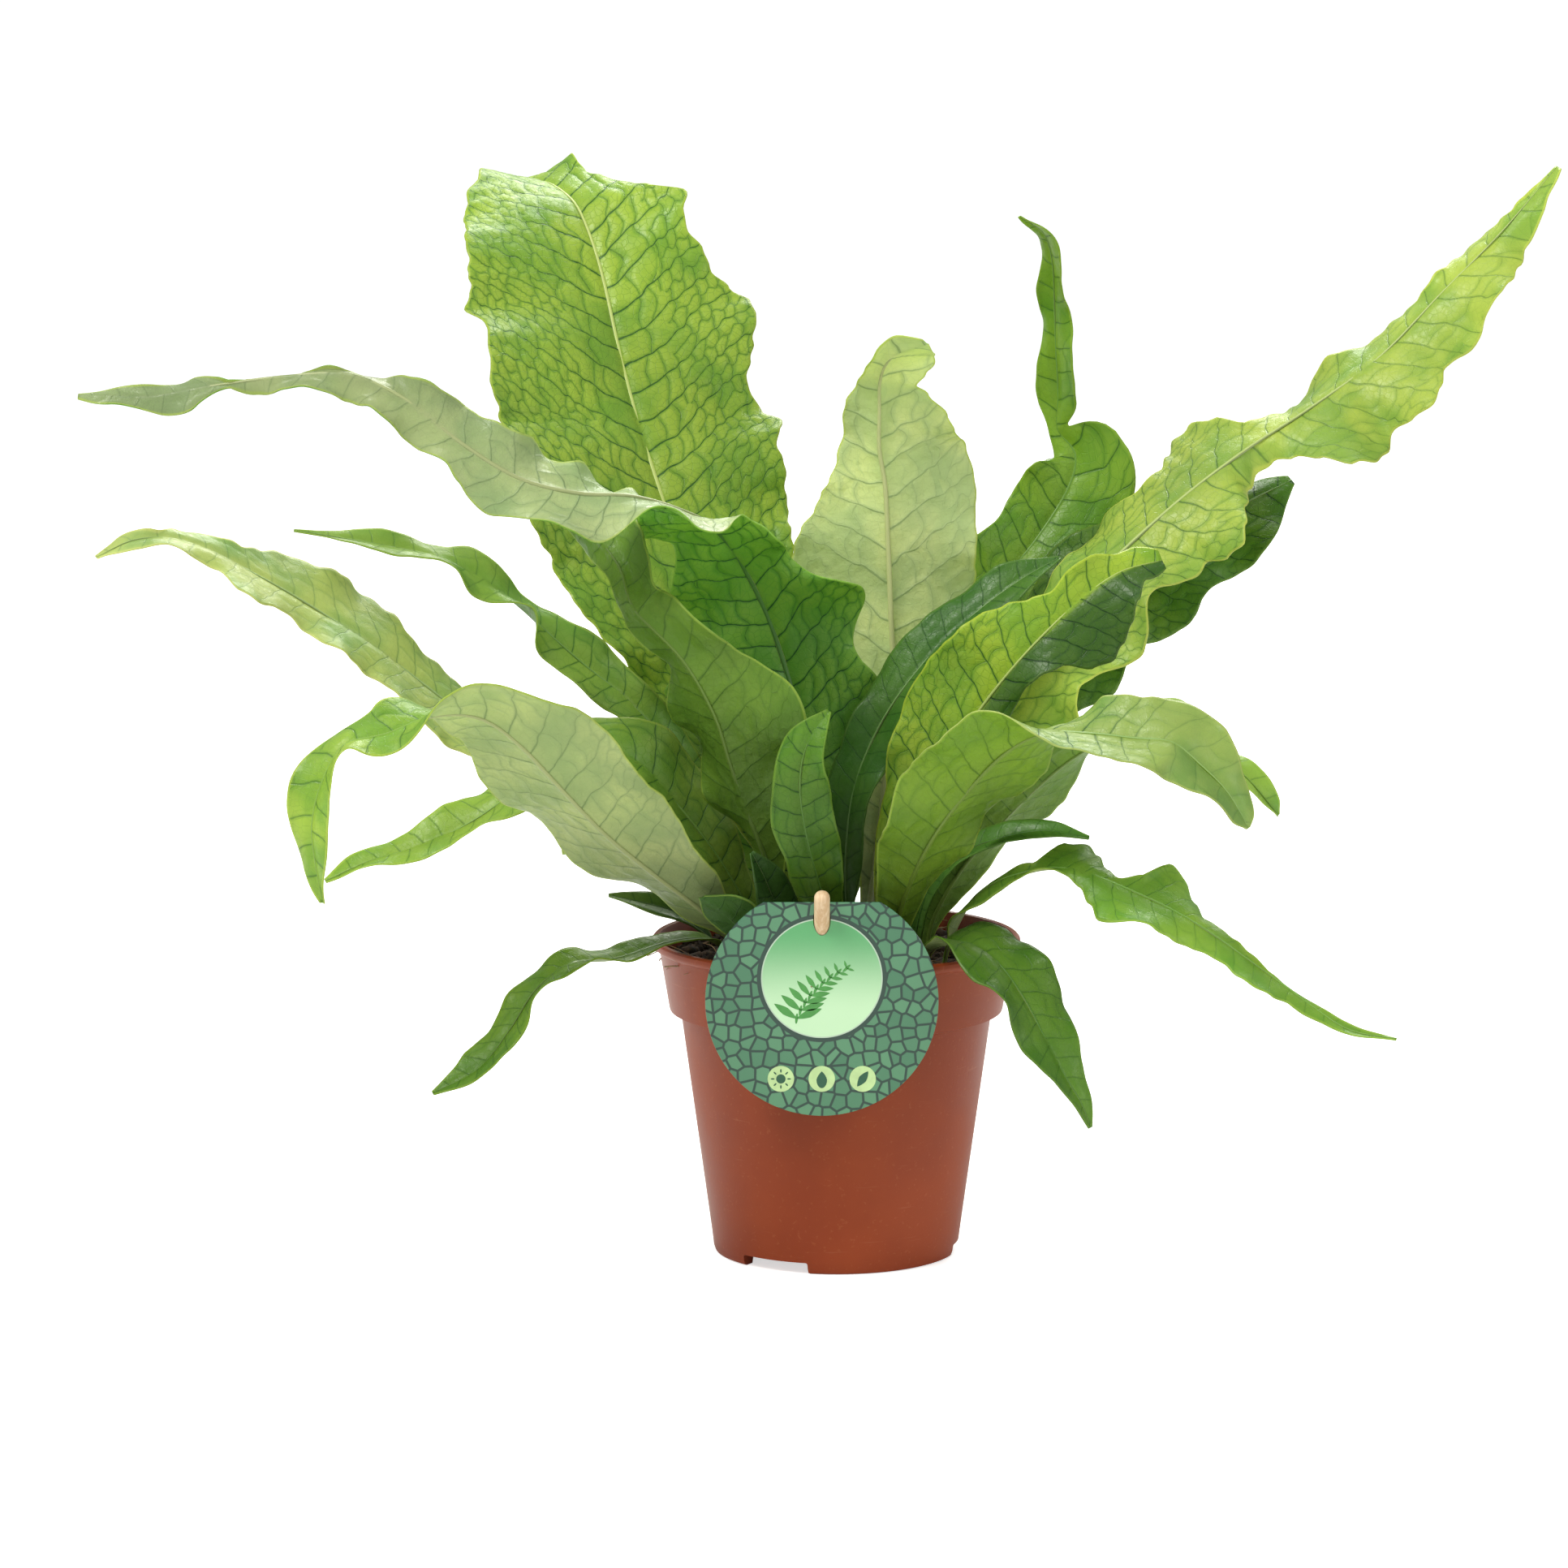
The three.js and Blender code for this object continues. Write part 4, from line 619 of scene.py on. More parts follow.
def makeFrond(frond):
    rows = frondRows(frond)
    widest = max(row["half"] for row in rows)
    pitch = frond.get("pitch", 5.2 + .19 * widest)
    relief = frond["relief"] * pitch / 2 + .1
    bend = math.sin(math.radians(frond["fold"]))
    seed = len(frond["name"]) * 3.7 + frond["root"][0]
    columns = 2 * max(4, round(widest / frond["quad"]))
    bm, (leafMap, netMap), (tintOf, underOf), edgeOf = leafGrid(columns, rows)
    flat = {}
    for vert in bm.verts:
        v = vert.co.x
        row = rowOf(rows, vert)
        side, left, half, reach = abs(v), v < 0, row["half"], row["reach"]

        ripple = math.sin(row["angle"] + left * frond["rippleLag"])
        fine = math.sin(reach * .43 + seed + left * 2) + .4 * math.sin(reach * .95 + seed * 2 + left)
        out = half * (1 + row["skew"] * v) * (1 + frond["ripple"] * side * ripple)
        out = edgeAt(frond.get("left" if left else "right"), reach, out)
        out *= 1 + frond["nibble"] * side ** 3 * min(1, half / 9) * fine
        width = side * out
        margin = out - width

        beat = row["angle"] * frond["waveStretch"] + left * frond["waveLag"]
        ruffle = math.sin(reach * .29 + seed + left * 1.3) + .3 * math.sin(reach * .71 + seed)
        swell = noise.noise(Vector((reach * .05, v * half * .06, seed)))
        calm = min(1, margin / frond["flatMargin"]) * min(1, width / frond["flatMiddle"])
        calm *= min(1, half / frond["flatHalf"])
        strength = veinStrength(frond["veins"], row["t"])
        dome = netDome(*netCoordinates(reach, width, pitch, left)) - .35
        lift = bend * side * half + row["wave"] * side * side * math.cos(beat)
        lift += frond["ruffle"] * frond["ruffleHigh"] * min(1, half / 14) * side ** 3 * ruffle
        lift += relief * calm * (.35 + .65 * strength) * dome
        lift += frond["ruffle"] * frond["swell"] * swell * min(1, half / 10)
        lift -= frond["groove"] * math.exp(-(width / frond["grooveHalf"]) ** 2)

        at = row["at"] + row["across"] * math.copysign(width, v) + row["up"] * lift
        vert.co = [between(value, low, high) for value, low, high in zip(at * mm, *cadBox)]
        flat[vert] = (reach, -width if left else width)
        vert[edgeOf] = margin
        # the tint is random mottling, times the painted shade at the crowded foot, times the frond's tone
        # along its length
        mottle = noise.noise(row["at"] * .03 + Vector((seed, v, 0)))
        shade = (1 + frond["mottle"] * mottle) * crownPaintedShade(row["at"]) * toneAt(frond["tone"], row["t"])
        # painted shade: the tint of the right half is multiplied by the frond's right-half factors,
        # darkening a half that turns away from the light
        inShade = between(v / .08, 0, 1)
        shares = [shade * (1 + (share - 1) * inShade) for share in frond["rightTone"]]
        vert[tintOf] = (*(channel * share for channel, share in zip(frond["tint"], shares)), strength)
        vert[underOf] = (*(channel * shade for channel in frond["under"]), 1)
    for face in bm.faces:
        left = sum(flat[loop.vert][1] for loop in face.loops) < 0
        for loop in face.loops:
            loop[leafMap].uv = flat[loop.vert]
            reach, signed = flat[loop.vert]
            loop[netMap].uv = netCoordinates(reach, abs(signed), pitch, left)
    bm.normal_update()

    blade = addPiece(bm, camelName(frond["name"]), leafMaterials)
    wall = blade.modifiers.new("wall", "SOLIDIFY")
    wall.thickness = frond["thickness"] * mm
    wall.offset = -1
    wall.material_offset = 1
    wall.material_offset_rim = 0
    applyModifiers(blade)
    rib = makeRib(frond, rows[::3] + ([rows[-1]] if (len(rows) - 1) % 3 else []))
    with active(blade, rib):
        bpy.ops.object.join()
    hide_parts(frond["name"])


def makeRib(frond, rows):
    # the midrib: a half-round cord below the blade with a low ridge above
    size = min(1, max(row["half"] for row in rows) / 30)
    bm, _, (tintOf, underOf), edgeOf = leafGrid(frond["ribSides"], rows)
    ridge = frond.get("ridge", [channel * .82 for channel in frond["tint"]])
    for vert in bm.verts:
        row = rowOf(rows, vert)
        turn = vert.co.x * math.pi
        fade = (1 - row["t"]) ** .6
        radius = frond["ribHalf"] * (.25 + .75 * size) * fade + .04
        high = math.cos(turn)
        depth = frond["ribDepth"] * radius / frond["ribHalf"]
        rise = high * (frond["ribRise"] * fade + .05 if high > 0 else depth) - frond["ribSink"]
        sideways = math.sin(turn) * radius * (frond["ribNarrow"] if high > 0 else 1)
        vert.co = (row["at"] + row["across"] * sideways + row["up"] * rise) * mm
        vert[edgeOf] = max(0, high)
        # the rib's colours carry the same painted shade at the crowded foot of the plant
        for paintOf, paint in ((tintOf, ridge), (underOf, frond["under"])):
            vert[paintOf] = (*(channel * crownPaintedShade(row["at"]) for channel in paint), 1)
    bmesh.ops.remove_doubles(bm, verts=bm.verts, dist=tiny)
    bmesh.ops.holes_fill(bm, edges=bm.edges, sides=0)
    bmesh.ops.recalc_face_normals(bm, faces=bm.faces)
    for face in bm.faces:
        face.material_index = 2
    return addPiece(bm, "rib", leafMaterials)


# leaf materials

def makeVeinNet():
    # the same net as netDome, as masks of the veins, the fine net, the domes and each cell's own number
    style = frondStyle
    group = bpy.data.node_groups.new("veinNet", "ShaderNodeTree")
    for names, way, kind in ((("Net", "Leaf"), "INPUT", "NodeSocketVector"),
                             (("Vein", "Veinlet", "Dome", "Cell", "Fade"), "OUTPUT", "NodeSocketFloat")):
        for name in names:
            group.interface.new_socket(name, in_out=way, socket_type=kind)
    into = group.nodes.new("NodeGroupInput").outputs
    out = group.nodes.new("NodeGroupOutput").inputs

    def op(operation, *values):
        return calc(group, operation, *values)

    def chosen(pick, yes, no):
        return op("MULTIPLY_ADD", pick, op("SUBTRACT", yes, no), no)

    phase, cell = addNode(group, "SeparateXYZ", Vector=into["Net"]).outputs[:2]
    far = remap(group, cell, style["splitAt"], style["splitAt"] + style["splitOver"], curve="LINEAR")
    bow = op("MULTIPLY", op("COSINE", op("MULTIPLY", cell, tau)),
             op("SUBTRACT", op("COSINE", op("MULTIPLY", phase, math.pi)), .4))
    bow = op("MULTIPLY", bow, op("MULTIPLY_ADD", far, .6, .4))
    phase = op("MULTIPLY_ADD", bow, -style["bow"], phase)
    whole = op("MULTIPLY", phase, .5)
    strong = op("PINGPONG", phase, 1)
    weak = op("SUBTRACT", op("SUBTRACT", 2, strong), far)
    split = op("GREATER_THAN", far, .5)
    band = chosen(split, op("FLOOR", phase), op("FLOOR", whole))
    wide = op("SINE", op("MULTIPLY", op("FRACT", whole), math.pi))
    tight = op("MULTIPLY", op("SINE", op("MULTIPLY", op("FRACT", phase), math.pi)), .4)
    sway = op("SINE", op("MULTIPLY_ADD", band, 2.4, op("MULTIPLY", cell, 1.7)))
    stagger = op("MULTIPLY_ADD", sway, .22, op("MULTIPLY_ADD", band, .5, cell))
    stagger = op("MULTIPLY_ADD", chosen(split, tight, wide), -style["arch"], stagger)
    cross = op("ADD", op("PINGPONG", stagger, .5), remap(group, cell, .55, .8, 1, 0, "LINEAR"))

    ragged = op("MULTIPLY_ADD", noiseOf(group, into["Leaf"], .5, flat=True), .06, -.03)
    thick = remap(group, cell, 0, 4, .085, .04, "LINEAR")
    vein = None
    for line, inner, outer, strength in ((strong, op("MULTIPLY", thick, .3), thick, 1),
                                         (weak, .008, .042, .6), (cross, .006, .03, .55)):
        mask = remap(group, op("ADD", line, ragged), inner, outer, strength, 0)
        vein = op("MAXIMUM", vein, mask) if vein else mask
    number = addNode(group, "CombineXYZ", X=band, Y=op("FLOOR", stagger)).outputs[0]
    each = addNode(group, "TexWhiteNoise", {"noise_dimensions": "2D"}, Vector=number).outputs[0]
    flatCells = {"voronoi_dimensions": "2D", "feature": "DISTANCE_TO_EDGE"}
    fine = addNode(group, "TexVoronoi", flatCells, Vector=into["Leaf"], Scale=.42).outputs["Distance"]
    nearest = op("MINIMUM", op("MINIMUM", strong, weak), cross)
    connect(group, vein, out["Vein"])
    connect(group, remap(group, fine, .01, .06, 1, 0), out["Veinlet"])
    connect(group, remap(group, nearest, 0, .4), out["Dome"])
    connect(group, each, out["Cell"])
    connect(group, remap(group, cell, 0, 3, .7, .3), out["Fade"])
    return group


# dyes multiply the frond's own colour: dull, bright, deep, vein and rim; deep is both the fine veinlets'
# colour and the painted shade in the cells' hollows along the veins; bumps are strength and distance
leafFaces = {
    "leafTop": {
        "paint": "tint", "specular": .38, "mottle": 45, "mottled": (.36, .62), "cells": .4, "hollow": .6,
        "veinlet": .4, "fading": False, "rimShare": .85, "rimMix": 0,
        "gloss": (.4, 2), "glossy": (.3, .7, .3, .46),
        "dyes": ((.8, .9, .8), (1.42, 1.2, 1.15), (.55, .74, .55), (.2, .33, .42), (1.7, 1.3, 1.4)),
        "heights": (-1, -.35), "relief": (.6, .3), "crinkle": (.3, 2),
        "crinkled": (.3, .6), "grain": (.3, .2), "shine": (1.3, 1.12, .5), "through": .36,
    },
    "leafUnder": {
        "paint": "under", "specular": .3, "mottle": 38, "mottled": (.38, .64), "cells": .35, "hollow": .5,
        "veinlet": .35, "fading": True, "rimShare": .8, "rimMix": .6,
        "gloss": (.26, 3), "glossy": (.35, .65, .3, .5),
        "dyes": ((.78, .84, .8), (1.16, 1.1, 1.05), (.78, .84, .8), (.36, .46, .36), (1.3, 1.15, .7)),
        "heights": (1, .3), "relief": (.5, .3), "crinkle": (.26, 3),
        "crinkled": (.5, .9), "grain": (.25, .2), "shine": (1.15, 1.06, .5), "through": .34,
    },
}


def makeLeaf(name):
    look = leafFaces[name]
    material, tree, shader = newMaterial(name, **{"Specular IOR Level": look["specular"]})
    leaf, coordinates = (addNode(tree, "UVMap", {"uv_map": key}).outputs[0] for key in ("leaf", "net"))
    group = tree.nodes.new("ShaderNodeGroup")
    group.node_tree = veinNet
    connect(tree, coordinates, group.inputs["Net"])
    connect(tree, leaf, group.inputs["Leaf"])
    net = group.outputs
    paint, strength = attributeOf(tree, look["paint"]), attributeOf(tree, "tint", "Alpha")
    dull, bright, deep, vein, rim = (dyed(tree, paint, dye) for dye in look["dyes"])
    mottle = noiseOf(tree, objectSpace(tree), look["mottle"], 3)
    skin = mixColor(tree, remap(tree, mottle, *look["mottled"]), dull, bright)
    skin = mixColor(tree, times(tree, net["Cell"], look["cells"]), skin, bright)
    # painted shade: the hollows of each cell along its veins are mixed towards the deep dye
    hollow = remap(tree, net["Dome"], 0, .6, look["hollow"], 0)
    skin = mixColor(tree, times(tree, hollow, strength), skin, deep)
    skin = mixColor(tree, times(tree, times(tree, net["Veinlet"], look["veinlet"]), strength), skin, deep)
    lines = times(tree, net["Vein"], net["Fade"]) if look["fading"] else net["Vein"]
    skin = mixColor(tree, times(tree, lines, strength), skin, vein)
    rim = mixColor(tree, look["rimMix"], rim, (.42, .58, .1))
    edge = remap(tree, attributeOf(tree, "edge", "Fac"), .3, .8, look["rimShare"], 0)
    skin = mixColor(tree, edge, skin, rim)

    main, fine = look["heights"]
    height = calc(tree, "MULTIPLY_ADD", net["Vein"], main, times(tree, net["Veinlet"], fine))
    dress(tree, shader, skin, (times(tree, height, strength), *look["relief"]),
          (noiseOf(tree, leaf, *look["crinkle"], flat=True), *look["crinkled"]),
          (noiseOf(tree, leaf, 1.6, 3, flat=True), *look["grain"]),
          roughness=remap(tree, noiseOf(tree, leaf, *look["gloss"], flat=True), *look["glossy"]))
    normal = shader.inputs["Normal"].links[0].from_socket
    glow = addNode(tree, "BsdfTranslucent", Color=dyed(tree, skin, look["shine"]), Normal=normal)
    blendShaders(tree, "MixShader", shader, glow, Fac=look["through"])
    return material


def makeLeafRib():
    material, tree, shader = newMaterial("leafRib", .42)
    grain = noiseOf(tree, objectSpace(tree), 260, 3)
    below = dyed(tree, attributeOf(tree, "under"), (.72, .66, .6))
    above = remap(tree, attributeOf(tree, "edge", "Fac"), 0, .4)
    skin = mixColor(tree, above, below, attributeOf(tree, "tint"))
    skin = mixColor(tree, times(tree, grain, .4), skin, dyed(tree, skin, (.7, .75, .6)))
    dress(tree, shader, skin, (grain, .3, .2))
    return material


veinNet = makeVeinNet()
leafMaterials = [makeLeaf("leafTop"), makeLeaf("leafUnder"), makeLeafRib()]
for frond in fronds:
    makeFrond({**frondStyle, **frond})
print("fronds ready:", len(fronds))


# pot

pot = {
    "rim": 60, "height": 104, "base": 40, "wall": 1.4, "collar": 24, "steps": 144,
    "floor": 4, "foot": 4, "dish": 10, "dishSlope": 1.5, "sharp": 32,
    "slots": 3, "slotWide": 24, "slotRound": .6, "firstSlot": -121,
    "drains": 6, "drainRing": 22, "drainWide": 4, "drainDeep": 8,
}


def potProfile():
    # radius and height, from the middle of the underside round the outside to the middle of the inside
    rim, top, base = pot["rim"], pot["height"], pot["base"]
    wall, floor, dish = pot["wall"], pot["floor"], pot["dish"]
    body, collar, low, foot = rim - 9.4, rim - 5.6, top - pot["collar"], base - pot["foot"]
    floorTop, slope = floor + wall, dish + pot["dishSlope"]
    return [
        (0, 0), (dish, 0), (slope, floor), (foot - 2, floor),
        (foot - 1, 0), (base - 1.6, 0), (base - .5, .4), (base, 1.8), (base + .4, 5), (base + .6, 6.6),
        (body - .15, low - 2), (body, low - .8), (body + .8, low - .25), (collar - 1, low),
        (collar - .2, low + .3), (collar, low + 1), (collar + 3, top - 5), (rim - 2.2, top - 3.9),
        (rim - .9, top - 3.2), (rim - .2, top - 2.5), (rim, top - 1.7), (rim - .1, top - .7),
        (rim - .6, top - .1), (rim - 1.4, top), (rim - 2.2, top - .2), (rim - 2.7, top - 1),
        (rim - 3.6, top - 4),
        (collar - wall, low + 2), (body - wall, low - .4), (base - wall + .6, floorTop + 2),
        (base - wall - 1.4, floorTop), (slope - .4, floorTop), (dish - .4, wall), (0, wall),
    ]


def spinProfile(profile, steps):
    bm = bmesh.new()
    verts = [bm.verts.new((x * mm, 0, z * mm)) for x, z in profile]
    edges = [bm.edges.new(pair) for pair in zip(verts, verts[1:])]
    bmesh.ops.spin(bm, geom=verts + edges, cent=(0, 0, 0), axis=(0, 0, 1), angle=tau, steps=steps,
                   use_merge=True, use_duplicate=False)
    bmesh.ops.remove_doubles(bm, verts=bm.verts, dist=tiny)
    bmesh.ops.recalc_face_normals(bm, faces=bm.faces)
    return bm


def addRod(bm, radius, length, matrix, segments):
    bmesh.ops.create_cone(bm, cap_ends=True, segments=segments, radius1=radius * mm, radius2=radius * mm,
                          depth=length * mm, matrix=matrix)


def makePot():
    shell = addPiece(spinProfile(potProfile(), pot["steps"]), "potShell", [terracotta])
    bm = bmesh.new()
    for i in range(pot["slots"]):
        turn = Matrix.Rotation(math.radians(pot["firstSlot"]) + i * tau / pot["slots"], 4, "Z")
        place = turn @ moved(pot["base"] - pot["foot"] / 2, 0, -.2)
        size = sized(pot["foot"] * 4, pot["slotWide"], pot["floor"] * 2)
        bmesh.ops.create_cube(bm, size=1, matrix=place @ size)
    long = [edge for edge in bm.edges if edge.calc_length() > pot["foot"] * 3.9 * mm]
    rounded(bm, long, pot["slotRound"], 3)
    for i in range(pot["drains"]):
        turn = Matrix.Rotation(i * tau / pot["drains"], 4, "Z")
        place = turn @ moved(pot["drainRing"], 0, pot["floor"] + 1)
        addRod(bm, pot["drainWide"], pot["drainDeep"], place, 32)
    cutAway(shell, bm)
    for face in shell.data.polygons:
        face.use_smooth = True
    shell.data.set_sharp_from_angle(angle=math.radians(pot["sharp"]))
    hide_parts("pot")


def makeTerracotta():
    material, tree, shader = newMaterial("terracottaPlastic", **{"Specular IOR Level": .25})
    space = objectSpace(tree)
    cloud = noiseOf(tree, space, 22, 4)
    skin = mixColor(tree, remap(tree, cloud, .35, .7), (.235, .036, .007), (.285, .048, .010))
    specks = remap(tree, noiseOf(tree, space, 700), .62, .72, 0, .2)
    skin = mixColor(tree, specks, skin, (.44, .12, .045))
    scuffs = remap(tree, noiseOf(tree, stretched(tree, space, (60, 60, 900), (.2, .5, .3)), 1), .68, .76)
    skin = mixColor(tree, times(tree, scuffs, .18), skin, (.44, .15, .07))
    rings = noiseOf(tree, stretched(tree, space, (4, 4, 420)), 1)
    dress(tree, shader, skin, (noiseOf(tree, space, 900), .12, .2), (rings, .1, .2),
          roughness=remap(tree, cloud, .3, .7, .36, .5))
    return material


terracotta = makeTerracotta()
makePot()
print("pot ready")


# soil

soil = {
    "crumbs": 2600, "fibres": 170, "fibreSteps": 7, "reach": 53.5, "wallReach": 57,
    "lump": .9, "dipFrom": 50, "dip": 1,
}


def soilHeight(x, y):
    lumps = math.sin(x * .71 + 1) * math.cos(y * .63) + .6 * math.sin(x * 1.9 - y * 1.3)
    dip = soil["dip"] if math.hypot(x, y) > soil["dipFrom"] else 0
    return frondStyle["soil"] + soil["lump"] * lumps - dip


def makePeat(name, dark, light, scale):
    material, tree, shader = newMaterial(name, .92)
    space = objectSpace(tree)
    grain = noiseOf(tree, space, scale, 4)
    skin = mixColor(tree, remap(tree, grain, .35, .68), dark, light)
    chips = remap(tree, noiseOf(tree, space, scale * 2.3), .66, .72, 0, .8)
    dress(tree, shader, mixColor(tree, chips, skin, (.16, .10, .06)), (grain, .9, 1.2))
    return material


def makeCrumbs():
    # crumbs of peat, each a lumpy little ball
    bm = bmesh.new()
    for i in range(soil["crumbs"]):
        far = soil["reach"] * math.sqrt(random.random())
        turn = random.random() * tau
        x, y = far * math.cos(turn), far * math.sin(turn)
        size = random.choice((.7, .9, 1.1, 1.4, 1.4, 2.0, 2.6)) * roll(.8, 1.2)
        place = moved(x, y, soilHeight(x, y) + size * roll(-.1, .8))
        spin = Matrix.Rotation(random.random() * tau, 4, Vector((random.random(), random.random(), 1)))
        squash = Matrix.Diagonal((roll(.7, 1.3), roll(.7, 1.2), roll(.5, .9), 1))
        made = bmesh.ops.create_icosphere(bm, subdivisions=1, radius=size * mm, matrix=place @ spin @ squash)
        for vert in made["verts"]:
            push = Vector((roll(-1, 1), roll(-1, 1), roll(-1, 1)))
            vert.co += push * size * .16 * mm
    addPiece(bm, "peatCrumbs", [peat])


def makeStrand(bm, points, radius):
    # a thin strand through the points, closed at both ends
    ring = bmesh.ops.create_circle(bm, cap_ends=True, segments=4, radius=radius * mm)["verts"]
    face = ring[0].link_faces[0]
    heading = (points[1] - points[0]).to_track_quat("Z", "Y").to_matrix().to_4x4()
    bmesh.ops.transform(bm, matrix=moved(*points[0]) @ heading, verts=ring)
    for here, there in zip(points, points[1:]):
        face = bmesh.ops.extrude_discrete_faces(bm, faces=[face])["faces"][0]
        bmesh.ops.translate(bm, vec=(there - here) * mm, verts=face.verts)


def makeFibres():
    # pale roots and peat fibres that curl over the soil
    bm = bmesh.new()
    for i in range(soil["fibres"]):
        far = soil["reach"] * (math.sqrt(random.random()) if i % 3 else roll(.85, .98))
        turn = random.random() * tau
        at = Vector((far * math.cos(turn), far * math.sin(turn), 0))
        at.z = soilHeight(at.x, at.y) + 1
        heading = Vector((roll(-1, 1), roll(-1, 1), roll(.1, .8))).normalized()
        points = [at.copy()]
        for step in range(soil["fibreSteps"]):
            heading = (heading + Vector((roll(-.5, .5), roll(-.5, .5), -.12))).normalized()
            at = at + heading * roll(1.2, 2.4)
            if math.hypot(at.x, at.y) < soil["wallReach"]:
                at.z = max(at.z, soilHeight(at.x, at.y) + .6)
            points.append(at.copy())
        makeStrand(bm, points, roll(.12, .3))
    addPiece(bm, "peatFibres", [straw])


def repaint(node, material):
    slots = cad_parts[node].data.materials
    slots.clear()
    slots.append(material)


peat = makePeat("peat", (.018, .011, .008), (.075, .045, .028), 420)
straw = makePeat("straw", (.20, .12, .06), (.40, .27, .14), 300)
repaint("soil", peat)
makeCrumbs()
makeFibres()
print("soil ready")


# rhizome

rhizome = {"axis": 94, "radius": 4.4, "scales": 520, "scaleHalf": .9, "branches": [
    [(-39, 8), (-27, 2), (-14, -7), (0, -9), (14, -12), (27, -16), (37, -27)],
    [(0, -9), (4, 4), (12, 14), (20, 27)],
]}


def makeScales():
    # papery brown scales that cover the creeping stem
    bm = bmesh.new()
    for i in range(rhizome["scales"]):
        branch = rhizome["branches"][0 if i % 3 else 1]
        centres = [Vector((x, y, rhizome["axis"] - k % 2)) for k, (x, y) in enumerate(branch)]
        at, along = curvePoint(centres, roll(.01, .99))
        along.normalize()
        out = Matrix.Rotation(roll(-1.5, 1.5), 3, along) @ Vector((0, 0, 1))
        place = moved(*(at + out * (rhizome["radius"] + .1)))
        lean = (along * roll(.6, 1.2) + out * .5).to_track_quat("Z", "Y").to_matrix().to_4x4()
        bmesh.ops.create_cone(bm, cap_ends=True, segments=6, radius1=rhizome["scaleHalf"] * mm,
                              radius2=.05 * mm, depth=roll(2.2, 4) * mm,
                              matrix=place @ lean @ Matrix.Diagonal((1, .3, 1, 1)))
    brown = makePeat("scaleBrown", (.09, .05, .025), (.24, .15, .07), 350)
    addPiece(bm, "rhizomeScales", [brown])


repaint("rhizome", makePeat("rhizomeBark", (.06, .045, .02), (.16, .12, .05), 260))
makeScales()
print("rhizome ready")


# label card and stick

label = {
    "radius": 37, "centre": (-5, 94), "top": 126, "thick": .8, "back": -60.3, "bevel": .12,
    "cells": 230, "medal": (-5, 101.5), "medalRadius": 20.5, "rings": (1.3, 1.7), "edge": .12,
    "leaflets": 9, "inlay": .04, "signInlay": .07, "row": 69, "badgeStep": 13, "badge": 8.4, "rays": 8,
    "stickRadius": 2.5, "stickLength": 112, "lean": 32, "stickTop": (-5, -67, 130),
    "hole": 2.8, "holeLength": 120,
}


def stickPlace():
    return moved(*label["stickTop"]) @ turned(label["lean"], "X")


def makeCard():
    bm = bmesh.new()
    bmesh.ops.create_circle(bm, cap_ends=True, segments=180, radius=label["radius"] * mm)
    x, z = label["centre"]
    bmesh.ops.rotate(bm, verts=bm.verts, cent=(0, 0, 0), matrix=turned(90, "X", 3))
    bmesh.ops.translate(bm, verts=bm.verts, vec=Vector((x, label["back"], z)) * mm)
    bmesh.ops.bisect_plane(bm, geom=bm.verts[:] + bm.edges[:] + bm.faces[:], dist=1e-7,
                           plane_co=(0, 0, label["top"] * mm), plane_no=(0, 0, 1), clear_outer=True)
    front = bmesh.ops.extrude_face_region(bm, geom=bm.faces[:])["geom"]
    bmesh.ops.translate(bm, verts=[each for each in front if isinstance(each, bmesh.types.BMVert)],
                        vec=(0, -label["thick"] * mm, 0))
    bmesh.ops.recalc_face_normals(bm, faces=bm.faces)
    sharp = [edge for edge in bm.edges if len(edge.link_faces) == 2 and edge.calc_face_angle() > 1]
    rounded(bm, sharp, label["bevel"], 2)
    card = addPiece(bm, "labelCard", [makeCardPrint()], smooth=False)
    bm = bmesh.new()
    addRod(bm, label["hole"], label["holeLength"], stickPlace() @ moved(0, 0, -label["stickLength"] / 2), 40)
    cutAway(card, bm)
    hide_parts("label_card")


def makeCardPrint():
    # a scaly hide of rounded cells, and a pale round medallion with a dark ring
    material, tree, shader = newMaterial("cardPrint", .3, **{"Coat Weight": .3, "Coat Roughness": .12})
    space = objectSpace(tree)
    axes = addNode(tree, "SeparateXYZ", Vector=space).outputs
    flat = addNode(tree, "CombineXYZ", X=axes[0], Y=axes[2]).outputs[0]
    cells, tones = (
        addNode(tree, "TexVoronoi", {"voronoi_dimensions": "2D", "feature": feature},
                Vector=flat, Scale=label["cells"], Randomness=.75).outputs
        for feature in ("DISTANCE_TO_EDGE", "F1"))
    tone = addNode(tree, "SeparateXYZ", Vector=tones["Color"]).outputs[0]
    green = mixColor(tree, tone, (.045, .17, .085), (.085, .25, .125))
    skin = mixColor(tree, remap(tree, cells["Distance"], .06, .12, 1, 0), green, (.008, .04, .026))
    x, z = label["medal"]
    away = addNode(tree, "VectorMath", {"operation": "DISTANCE"}, Vector=flat)
    away.inputs[1].default_value = (x * mm, z * mm, 0)
    height = remap(tree, axes[2], (z - 12) * mm, (z + 16) * mm)
    sky = mixColor(tree, height, (.50, .74, .46), (.09, .36, .13))
    radius, edge = label["medalRadius"] * mm, label["edge"] * mm
    wide, narrow = (radius - ring * mm for ring in label["rings"])
    for start, end, ink in ((radius, radius + edge * 2, (.012, .045, .03)),
                            (wide, wide + edge, (.42, .56, .42)), (narrow, narrow + edge, sky)):
        skin = mixColor(tree, remap(tree, away.outputs["Value"], start, end, 1, 0), skin, ink)
    dress(tree, shader, skin, (noiseOf(tree, space, 500), .05, .1))
    return material


def makeInk(name, color):
    material, tree, shader = newMaterial(name, .35)
    blot = noiseOf(tree, objectSpace(tree), 300)
    deep = tuple(channel * .86 for channel in color)
    dress(tree, shader, mixColor(tree, remap(tree, blot, .3, .7), color, deep), (blot, .05, .1))
    return material


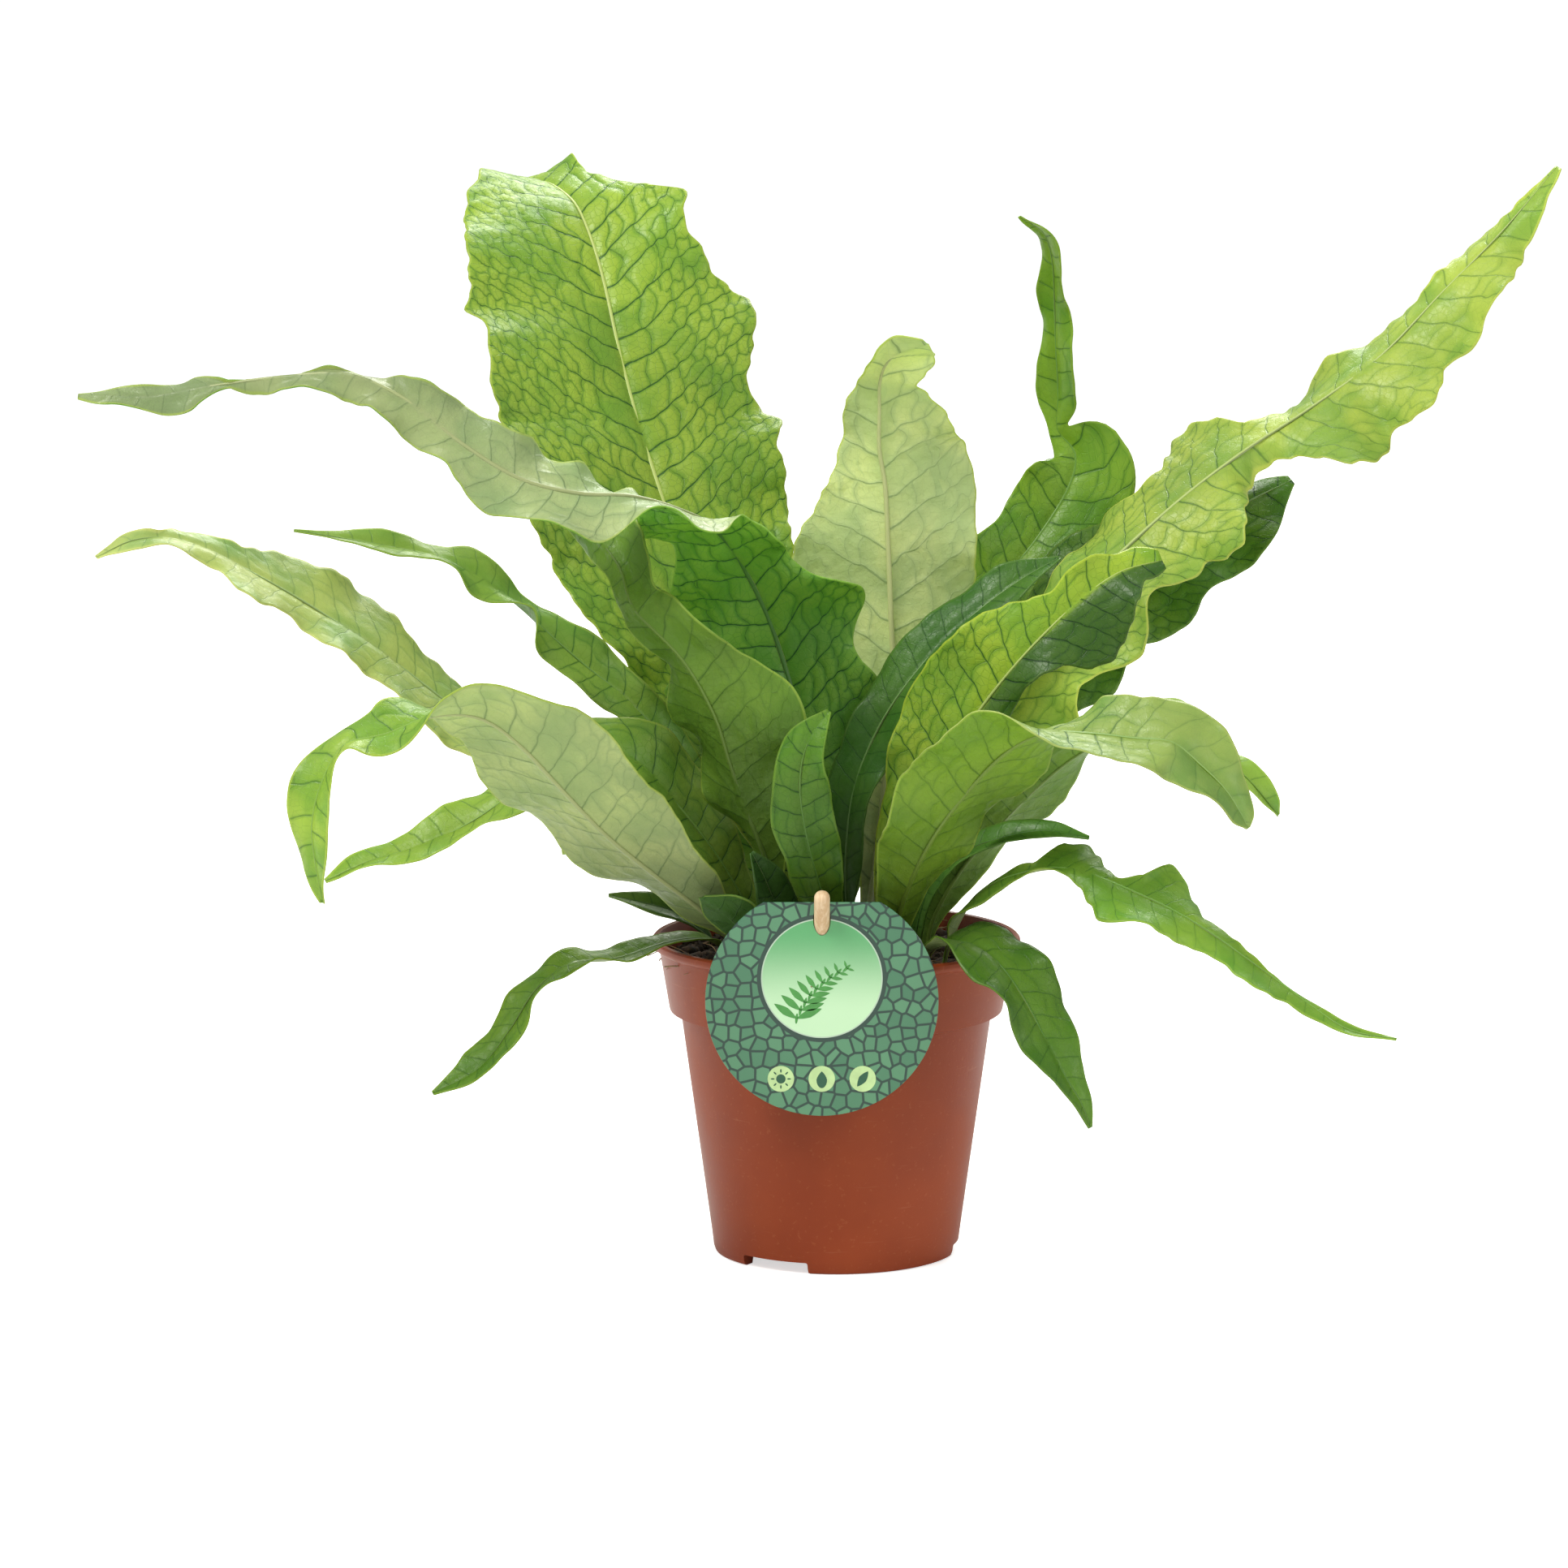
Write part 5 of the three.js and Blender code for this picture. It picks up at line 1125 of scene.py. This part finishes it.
def printShape(bm, at, turn, wide, high, point=0, sides=20, inlay=label["inlay"]):
    # a thin printed patch: an oval, drawn to a point at its top (point 1) or at both ends (point 2)
    made = bmesh.ops.create_cone(bm, cap_ends=True, segments=sides, radius1=1, radius2=1, depth=1)["verts"]
    for vert in made:
        if vert.co.y > 0 and point or point == 2:
            vert.co.x *= (1 - abs(vert.co.y)) ** .35
    place = moved(at[0], label["back"] - label["thick"], at[1]) @ turned(turn, "Y") @ turned(90, "X")
    bmesh.ops.transform(bm, matrix=place @ sized(wide / 2, high / 2, inlay * 2), verts=made)
    bmesh.ops.remove_doubles(bm, verts=made, dist=1e-7)


def makeLabelLeaf():
    # a fern leaf: an arching stalk with pairs of leaflets that get shorter
    x, z = label["medal"]
    bm = bmesh.new()
    for k in range(label["leaflets"]):
        bend = 6 + 5 * k
        at = (x - 8 + 1.1 * k + .11 * k * k, z - 13 + 2.75 * k - .09 * k * k)
        printShape(bm, at, bend, .9, 3.4)
        size = 8.6 - .75 * k
        for turn in (bend - 62, bend + 62):
            out = (math.sin(math.radians(turn)) * size / 2, math.cos(math.radians(turn)) * size / 2)
            printShape(bm, (at[0] + out[0], at[1] + out[1]), turn, size * .3, size, 2)
    addPiece(bm, "labelLeaf", [makeInk("leafInk", (.07, .30, .06))], smooth=False)


def makeBadges():
    # three round badges with a sun, a drop and a leaf
    x, low, step = label["medal"][0], label["row"], label["badgeStep"]
    bm = bmesh.new()
    for i in (-1, 0, 1):
        printShape(bm, (x + step * i, low), 0, label["badge"], label["badge"], sides=32)
    addPiece(bm, "labelBadges", [makeInk("badgeInk", (.50, .70, .32))], smooth=False)
    signs = [((x - step, low), 0, 3, 3)]
    for i in range(label["rays"]):
        turn = i * tau / label["rays"]
        place = (x - step + 2.6 * math.sin(turn), low + 2.6 * math.cos(turn))
        signs.append((place, i * 360 / label["rays"], .5, 1.2))
    signs += [((x, low - .3), 0, 3.4, 5.4, 1), ((x + step, low), 35, 2.6, 6, 2)]
    bm = bmesh.new()
    for sign in signs:
        printShape(bm, *sign, inlay=label["signInlay"])
    addPiece(bm, "labelSigns", [makeInk("signInk", (.02, .10, .05))], smooth=False)


def makeStick():
    r, length = label["stickRadius"], label["stickLength"]
    profile = [(0, -length), (r * .8, -length), (r, -length + .8), (r, -2.2), (r * .96, -1.4),
               (r * .82, -.7), (r * .55, -.2), (r * .25, 0), (0, 0)]
    bm = spinProfile(profile, 32)
    bmesh.ops.transform(bm, matrix=stickPlace(), verts=bm.verts)
    stick = addPiece(bm, "labelStick", [makeBirch()])
    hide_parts("label_stick")


def makeBirch():
    material, tree, shader = newMaterial("birch", .6)
    lean = (-math.radians(label["lean"]), 0, 0)
    grain = noiseOf(tree, stretched(tree, objectSpace(tree), (900, 900, 60), lean), 1, 3)
    skin = mixColor(tree, remap(tree, grain, .35, .68), (.60, .40, .22), (.74, .56, .36))
    dress(tree, shader, skin, (grain, .3, .2))
    return material


makeCard()
makeLabelLeaf()
makeBadges()
makeStick()
print("label ready")
